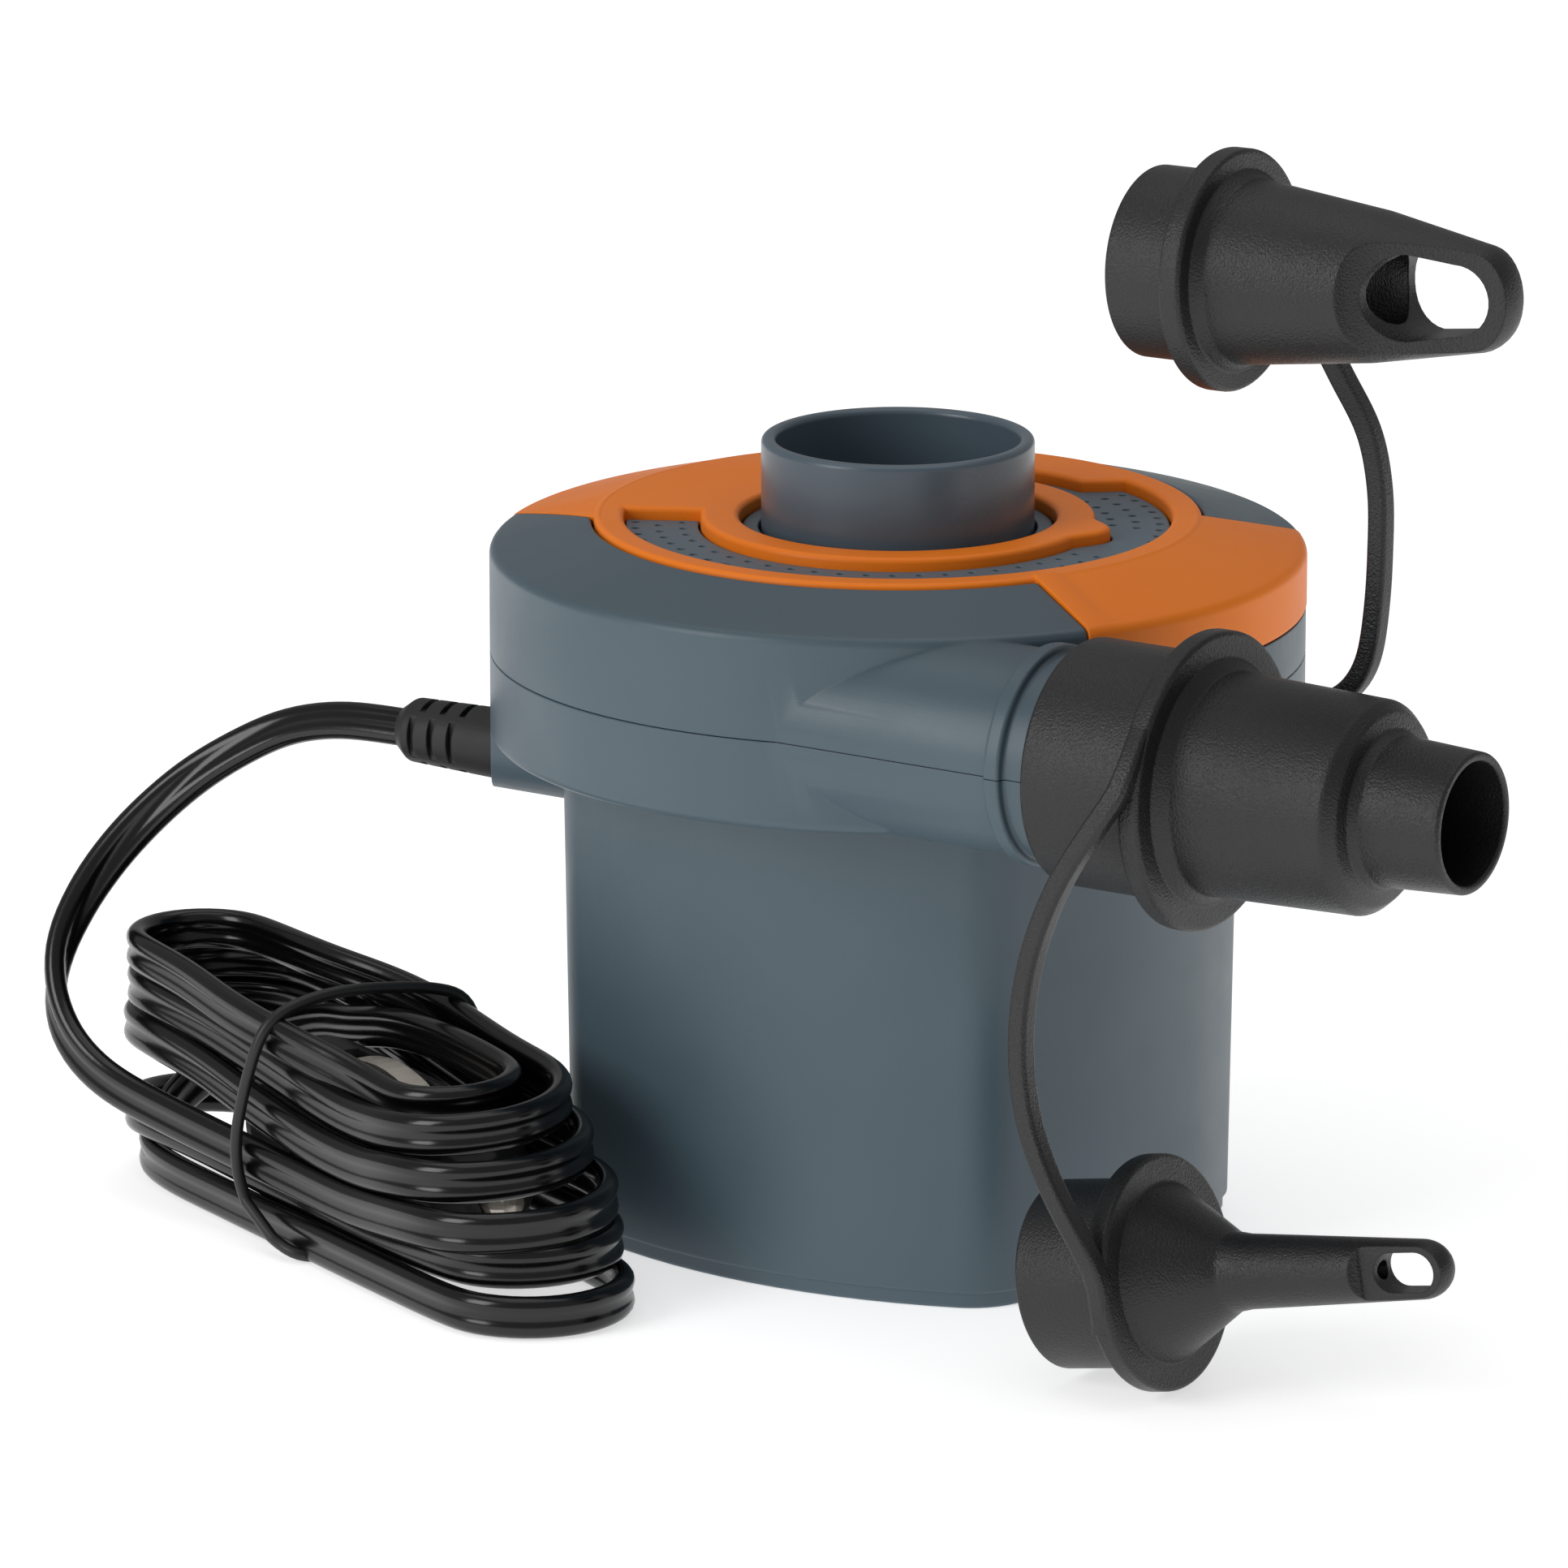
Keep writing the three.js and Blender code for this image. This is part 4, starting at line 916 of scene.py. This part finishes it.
# ---------------------------------------------------------------- nozzles and straps
def main_nozzle():
    """Sleeve, flange, body and tip outside, then back inside through the bores of tip, body and sleeve."""
    sleeve, sleeve_bore, flange, tip_bore = 15.4, 13.2, 18.6, 7.62
    start, flange_back, flange_front, body_end, end = 51.5, 67.4, 70.4, 92.9, 106.7
    obj = lathe(
        "main_nozzle_tube",
        [
            (sleeve_bore, start, 0.4), (sleeve, start, 0.6), (sleeve, flange_back, 0.5),
            (flange, flange_back, 0.7), (flange, flange_front, 0.7), (sleeve, flange_front, 0.4),
            (13.9, flange_front + 1.6, 0.8), (13.3, body_end, 1.4), (12, body_end + 1.5, 0.9),
            (9.9, body_end + 1.9, 0.6), (9.3, body_end + 3.1, 0.6), (8.75, end, 0.5),
            (tip_bore, end, 0.4), (tip_bore, body_end), (11.2, body_end - 1.5),
            (11.4, flange_front), (11.6, flange_back - 0.4), (sleeve_bore, flange_back - 0.8),
        ],
        along_x=True,
        centre=(OUTLET_Y, OUTLET_Z),
        segments=96,
    )
    return finish_surface(obj, NOZZLE)


def tilted(obj, place, tilt):
    """Moves a piece drawn along X from the origin to its place, its front end raised by tilt degrees."""
    turn = Matrix.Rotation(-math.radians(tilt), 4, "Y")
    obj.data.transform(Matrix.Translation(Vector(place) * MM) @ turn)
    return obj


def slab(name, outline, half_depth, upright):
    """An outline of (x, across) points made solid along Z, or along Y if it stands upright."""
    rings = []
    for side in (-half_depth, half_depth):
        rings.append([(x, side, y) if upright else (x, y, side) for x, y in outline])
    return loft(name, rings)


def slot_outline(front, back):
    """A hole with round ends; each end is (x, radius)."""
    outline = [(front[0] + x, y) for x, y in arc_points(front[1], -90, 90, 12)]
    outline += [(back[0] + x, y) for x, y in arc_points(back[1], 90, 270, 12)]
    return outline


def round_nose(start, end, radius, steps=10):
    """Profile points of a rounded end, without its first."""
    points = []
    for k in range(1, steps + 1):
        a = math.pi / 2 * k / steps
        points.append((radius * math.cos(a), start + (end - start) * math.sin(a)))
    return points


def scooped_flats(scoop, reach):
    """Cutters that hollow both sides down to a smooth line of (x, distance from the axis) points."""
    smooth = [tuple(p)[:2] for p in spline([(x, y, 0) for x, y in scoop], 0.5)]
    flats = []
    for side in (-1, 1):
        outline = [(x, side * y) for x, y in smooth]
        outline += [(scoop[-1][0], side * reach), (scoop[0][0], side * reach)]
        flats.append(slab("flat", outline, reach, upright=False))
    return flats


ADAPTER_SLEEVE = 11.7
ADAPTER_SLEEVE_BORE = 10.2


def upper_adapter():
    start, flange_back, flange_front, nose, end = 60.9, 70.3, 73.3, 106.6, 111.5
    flange = 14.75
    body = lathe(
        "upper_adapter_body",
        [
            (0, start), (ADAPTER_SLEEVE, start, 0.5), (ADAPTER_SLEEVE, flange_back, 0.3),
            (flange, flange_back, 0.6), (flange, flange_front, 0.6), (12.3, flange_front, 0.4),
            (11.3, flange_front + 1.4, 0.8), (9.2, 92.7, 12), (6.6, nose, 2),
            *round_nose(nose, end, 6.55),
        ],
        along_x=True,
        segments=96,
    )
    scoop = [(91.6, 9.6), (92.6, 7.6), (94.2, 6.2), (97, 5.1), (101.5, 3.8), (106.5, 2.7), (113.5, 1.9)]
    reach = 14
    flats = scooped_flats(scoop, reach)
    window = slab("window", slot_outline((104.6, 4.4), (98.9, 5.3)), reach, upright=True)
    bores = lathe(
        "bores",
        [
            (0, start - 1), (ADAPTER_SLEEVE_BORE, start - 1), (ADAPTER_SLEEVE_BORE, flange_front),
            (9, flange_front + 2), (6.8, 89.5), (4.6, 94.5), (3.4, 98), (0, 98),
        ],
        along_x=True,
        segments=MEDIUM,
    )
    combine(body, "DIFFERENCE", *flats, window, bores)
    middle, tilt, height = 85, 1, 140.3
    tilted(body, (0, OUTLET_Y, height - middle * math.sin(math.radians(tilt))), tilt)
    return finish_surface(body, NOZZLE)


def lower_adapter():
    """Drawn with the front of its flange at the origin."""
    length, flange, flange_back, start = 40.6, 14.65, -3, -15.2
    body = lathe(
        "lower_adapter_body",
        [
            (0, start), (ADAPTER_SLEEVE, start, 0.5), (ADAPTER_SLEEVE, flange_back, 0.3),
            (flange, flange_back, 0.6), (flange, 0, 0.6), (11.2, 0, 0.4), (10.6, 1, 0.6),
            (5, 9.8, 1.5), (4.65, 12, 1), (3.7, length - 4, 2),
            *round_nose(length - 4, length, 3.7),
        ],
        along_x=True,
        segments=96,
    )
    scoop = [(length - 12.6, 4.4), (length - 11.6, 2.9), (length - 10, 2.1), (length + 1, 1.7)]
    reach = 12
    flats = scooped_flats(scoop, reach)
    slot = slab("slot", slot_outline((length - 4, 2.5), (length - 7.3, 2.5)), reach, upright=True)
    bores = lathe(
        "bores",
        [
            (0, start - 1), (ADAPTER_SLEEVE_BORE, start - 1), (ADAPTER_SLEEVE_BORE, -1), (8.6, 1),
            (3.4, 10), (2.7, length - 13.5), (1.2, length - 10), (1.2, length - 8.5),
            (0, length - 8.5),
        ],
        along_x=True,
        segments=MEDIUM,
    )
    combine(body, "DIFFERENCE", *flats, slot, bores)
    flange_front, tilt = (68.7, -44.3, 15.1), 10.2
    return finish_surface(tilted(body, flange_front, tilt), NOZZLE)


# The straps leave the flanges along their rims, so their ends lie within the flanges.
LOWER_STRAP = [
    (68.9, -51.9, 85), (69, -54.5, 82), (68.4, -56.3, 78.6), (65.7, -57.1, 74.2),
    (61.4, -57.7, 67.3), (58.3, -58.2, 59.9), (56.7, -58.8, 52.5), (56.6, -59.5, 44.5),
    (58, -59.9, 36.7), (60.8, -60.2, 30.2), (63.6, -60.2, 25.5), (66, -59.7, 21.4),
    (67.1, -58.6, 17.8), (67.3, -57.7, 14.4), (67.3, -56.9, 10.6),
]
UPPER_STRAP = [
    (71.8, -23.9, 141.5), (71.9, -23.5, 138), (72.6, -23.2, 134.6), (74.4, -22.3, 131.4),
    (76, -21.6, 128.4), (77.8, -20.7, 124.4), (80.6, -18.8, 117.6), (81.9, -18.2, 110.2),
    (82, -18.2, 102.6), (81.6, -18.2, 95.4), (80.6, -18.4, 88.8), (78.4, -18.9, 84.9),
    (75.2, -19.4, 83), (71.8, -19.7, 82.4),
]


def strap(name, points):
    line = relaxed(spline(points, 0.9), 4)
    section = rounded_box_section(STRAP_WIDTH, STRAP_DEPTH, 0.6)
    return finish_surface(sweep(name, line, section, Vector((0, 1, 0))), NOZZLE, 50)


# ---------------------------------------------------------------- strain relief, plug and tie
def at_gland(obj, degrees):
    """Turns a piece drawn along X about X, and moves it onto the gland's axis."""
    obj.data.transform(Matrix.Rotation(math.radians(degrees), 4, "X"))
    obj.data.transform(Matrix.Translation((0, GLAND_Y * MM, GLAND_Z * MM)))
    return obj


def strain_relief():
    """A tapered sleeve with slots cut in from four sides, and a way for the turned cord."""
    start, radius, neck = RELIEF_START, RELIEF_RADIUS, 3.6
    neck_start, neck_end = GLAND_NECK
    gap = 0.2
    body = lathe(
        "strain_relief_sleeve",
        [
            (0, start), (2.9, start, 0.4), (4.2, start + 1.8, 0.9),
            (radius, neck_start - gap, 0.3), (neck, neck_start - gap, 0.2),
            (neck, neck_end + gap), (radius, neck_end + gap, 0.3),
            (radius, GLAND_ROOM_END - 0.3, 0.3), (0, GLAND_ROOM_END - 0.3),
        ],
        along_x=True,
        centre=(GLAND_Y, GLAND_Z),
        segments=64,
    )
    slot_bottom, slot_half, slot_reach = 3.3, 0.45, 2.7
    first, pitch, stagger = start + 3.4, 3.1, 1.0
    slots = []
    for i in range(3):
        for angle in (0, 90, 180, 270):
            x = first + pitch * i + (stagger if angle % 180 == 0 else 0)
            slot = block("slot", (x - slot_half, -slot_reach, slot_bottom), (x + slot_half, slot_reach, 8))
            slots.append(at_gland(slot, angle))
    thick, wide = CORD_THICKNESS / 2 + 0.15, CORD_WIDTH / 2 + 0.15
    way = block("way", (start - 1, -thick, -wide), (GLAND_ROOM_END + 1, thick, wide))
    combine(body, "DIFFERENCE", *slots, at_gland(way, -TWIST_AT_EXIT))
    return finish_surface(body, RUBBER)


def to_hank(obj):
    """Moves a piece drawn along X at the origin to the plug's line in the hank."""
    turn = Matrix.Rotation(HANK_ANGLE, 4, "Z")
    obj.data.transform(turn @ Matrix.Translation((0, HANK_T * MM, PLUG_Z * MM)))
    return obj


def plug_body():
    """A hollow shell with a slot for the two leaf contacts and shallow grip grooves on its sides."""
    radius, bore, leaf_slot = 10.3, 7.8, 4.1
    tail, room_start, front = -56, -43.5, -15.8
    body = lathe(
        "plug_body_shell",
        [
            (0, tail), (3.5, tail, 0.6), (4.6, tail + 6, 0.6), (7.6, tail + 7.4, 1.2),
            (9.6, tail + 9.4, 1.2), (radius, tail + 12, 1.5), (radius, front, 0.5), (bore, front),
            (bore, room_start), (0, room_start),
        ],
        along_x=True,
        segments=MEDIUM,
    )
    slot = block("slot", (-37, -leaf_slot / 2, -radius - 2), (-16.6, leaf_slot / 2, radius + 2))
    way = rod("way", 2.75, tail - 1, room_start + 1.5, along_x=True, segments=32)
    grip_depth, grip_width, grip_pitch = 0.35, 1.4, 3
    grips = []
    for k in range(5):
        x = -34 + grip_pitch * k
        for side in (-1, 1):
            low, high = sorted((side * (radius - grip_depth), side * 14))
            grips.append(block("grip", (x, low, -5), (x + grip_width, high, 5)))
    combine(body, "DIFFERENCE", slot, way, *grips)
    return finish_surface(to_hank(body), BLACK)


def plug_cap():
    """The eight-sided nose, hollow, with a hole for the tip contact."""
    radius, bore, tip_hole = 10.1, 7.4, 2.9
    start, inside_end, end = -15.5, -2.6, 0.6
    body = lathe(
        "plug_cap_nose",
        [
            (bore, start), (radius, start, 0.4), (radius, start + 3, 0.8), (8.2, -3, 0.8),
            (5.2, end, 0.6), (tip_hole, end), (tip_hole, inside_end), (6.2, inside_end),
            (bore, -5),
        ],
        along_x=True,
        segments=8,
        steps=4,
    )
    rounded_rims(body, 0.35, 2, 30)
    return finish_surface(to_hank(body), BLACK, 35)


TIE_LOOP = [
    (-23, -76.4, 1.2), (-31, -77.4, 4), (-34, -78.2, 9), (-34.4, -78.3, 14), (-33.6, -77.6, 20),
    (-32.4, -76.8, 25), (-31.6, -75.2, 29.4), (-31.2, -70.8, 31.6), (-30.8, -64.6, 32.4),
    (-30.2, -57.6, 32), (-29.6, -51, 31), (-29, -46.4, 28.4), (-27.6, -45.6, 18), (-25, -45.7, 8),
    (-23, -46.4, 1.6), (-22.4, -50, 0.75), (-22, -61, 0.7), (-22, -72, 0.7),
]


def cord_tie():
    """A round band. Its line is drawn past its start, and cut where the two ends meet."""
    loop = [Vector(from_hank(*p)) for p in TIE_LOOP]
    line = spline([*loop, *loop[:3]], 1.0)[10:-10]
    start = min(range(len(line) // 2), key=lambda i: (line[i] - line[-1]).length)
    line = relaxed(line[start + 1 :], 6)
    along = Vector((math.cos(HANK_ANGLE), math.sin(HANK_ANGLE), 0))
    band = sweep("cord_tie_band", line, round_section(0.78, 14), along, closed=True)
    return finish_surface(band, TIE, 60)


# ---------------------------------------------------------------- the assembly
place_piece(lower_housing(), "root", "housing", "lower_housing")
place_piece(head_cover(), "root", "housing", "head_cover")
place_piece(orange_trim(), "root", "trim", "orange_trim")
place_piece(vent_grille(), "root", "grille", "vent_grille")
place_piece(intake_collar(), "root", "collar", "intake_collar")

place_piece(main_nozzle(), "nozzle", "nozzle_plastic", "main_nozzle")
place_piece(upper_adapter(), "upper_tether", "nozzle_plastic", "upper_adapter")
place_piece(lower_adapter(), "lower_tether", "nozzle_plastic", "lower_adapter")

# Each strap, with two of its points that mark a stretch from its root at the main nozzle.
STRAPS = {
    "upper": (UPPER_STRAP, UPPER_STRAP[-1], UPPER_STRAP[-4]),
    "lower": (LOWER_STRAP, LOWER_STRAP[2], LOWER_STRAP[5]),
}
for which, (points, *bend) in STRAPS.items():
    piece = strap(f"{which}_strap_band", points)
    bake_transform(piece)
    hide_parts(f"{which}_strap")

relief = place_piece(strain_relief(), "root", "black_plastic", "strain_relief")
tie = place_piece(cord_tie(), "root", "cord_jacket", "cord_tie")
plug = [
    place_piece(plug_body(), "root", "black_plastic", "plug_body"),
    place_piece(plug_cap(), "root", "black_plastic", "plug_cap"),
]
plug += [nodes[name] for name in ("plug_tip_contact", "plug_spring", "plug_leaf_top", "plug_leaf_bottom")]

place_piece(power_cord, "root", "cord_jacket", "power_cord", "cord_hank")

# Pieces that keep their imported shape, by material.
KEPT = (
    (STEEL, ["motor_can", "bearing_front", "bearing_rear", "motor_screw_a", "motor_screw_b", "motor_shaft"]),
    (STEEL, ["armature_core", "impeller_nut", "plug_spring", *(f"case_screw_{i}" for i in (1, 2, 3, 4))]),
    (NICKEL, ["motor_terminal_a", "motor_terminal_b", "plug_leaf_top", "plug_leaf_bottom"]),
    (NICKEL, ["plug_tip_contact"]),
    (MAGNET, ["motor_magnet_a", "motor_magnet_b", "brush_a", "brush_b"]),
    (COPPER, ["armature_winding", "commutator"]),
    (BLACK, ["motor_end_cap", "impeller"]),
    (COLLAR_BORE, ["volute_plate"]),
    (RED, ["lead_red"]),
    (JACKET, ["lead_black"]),
)
for material, names in KEPT:
    for name in names:
        mesh = nodes[name].data
        mesh.materials.clear()
        mesh.materials.append(material)
        mesh.shade_smooth()
        mesh.set_sharp_from_angle(angle=math.radians(30))

# ---------------------------------------------------------------- stage and light
FLOOR_HALF = 4.0
floor = mesh_piece(
    "floor",
    [(x * FLOOR_HALF / MM, y * FLOOR_HALF / MM, -0.05) for x, y in ((-1, -1), (1, -1), (1, 1), (-1, 1))],
    [(0, 1, 2, 3)],
)
floor_finish = Finish("floor_paint")
floor_colour = floor_finish.mixed(
    floor_finish.ranged(floor_finish.noise(3), 0, 1), (0.93, 0.93, 0.93, 1), (0.95, 0.95, 0.95, 1)
)
floor_finish.link(floor_colour, floor_finish.shader.inputs["Base Color"])
floor_finish.shader.inputs["Emission Color"].default_value = (1, 1, 1, 1)
floor_finish.shader.inputs["Emission Strength"].default_value = 0.6
floor_gloss = floor_finish.ranged(floor_finish.noise(60), 0.6, 0.7)
floor_finish.link(floor_gloss, floor_finish.shader.inputs["Roughness"])
floor.data.materials.append(floor_finish.material)

world = bpy.data.worlds.new("studio")
scene.world = world
world.use_nodes = True
background = world.node_tree.nodes["Background"]
background.inputs["Color"].default_value = (1, 1, 1, 1)
background.inputs["Strength"].default_value = 0.3


def softbox(name, place, target, size, power):
    light = bpy.data.lights.new(name, "AREA")
    light.shape = "RECTANGLE"
    light.size, light.size_y = size
    light.energy = power
    obj = bpy.data.objects.new(name, light)
    obj.location = place
    obj.rotation_euler = (Vector(target) - Vector(place)).to_track_quat("-Z", "Y").to_euler()
    scene.collection.objects.link(obj)


softbox("overhead", (-0.1, 0.1, 1.6), (0, 0, 0.05), (1.6, 1.6), 6)
softbox("front_left", (-0.7, -1.5, 0.8), (0, 0, 0.06), (0.8, 1.1), 12)
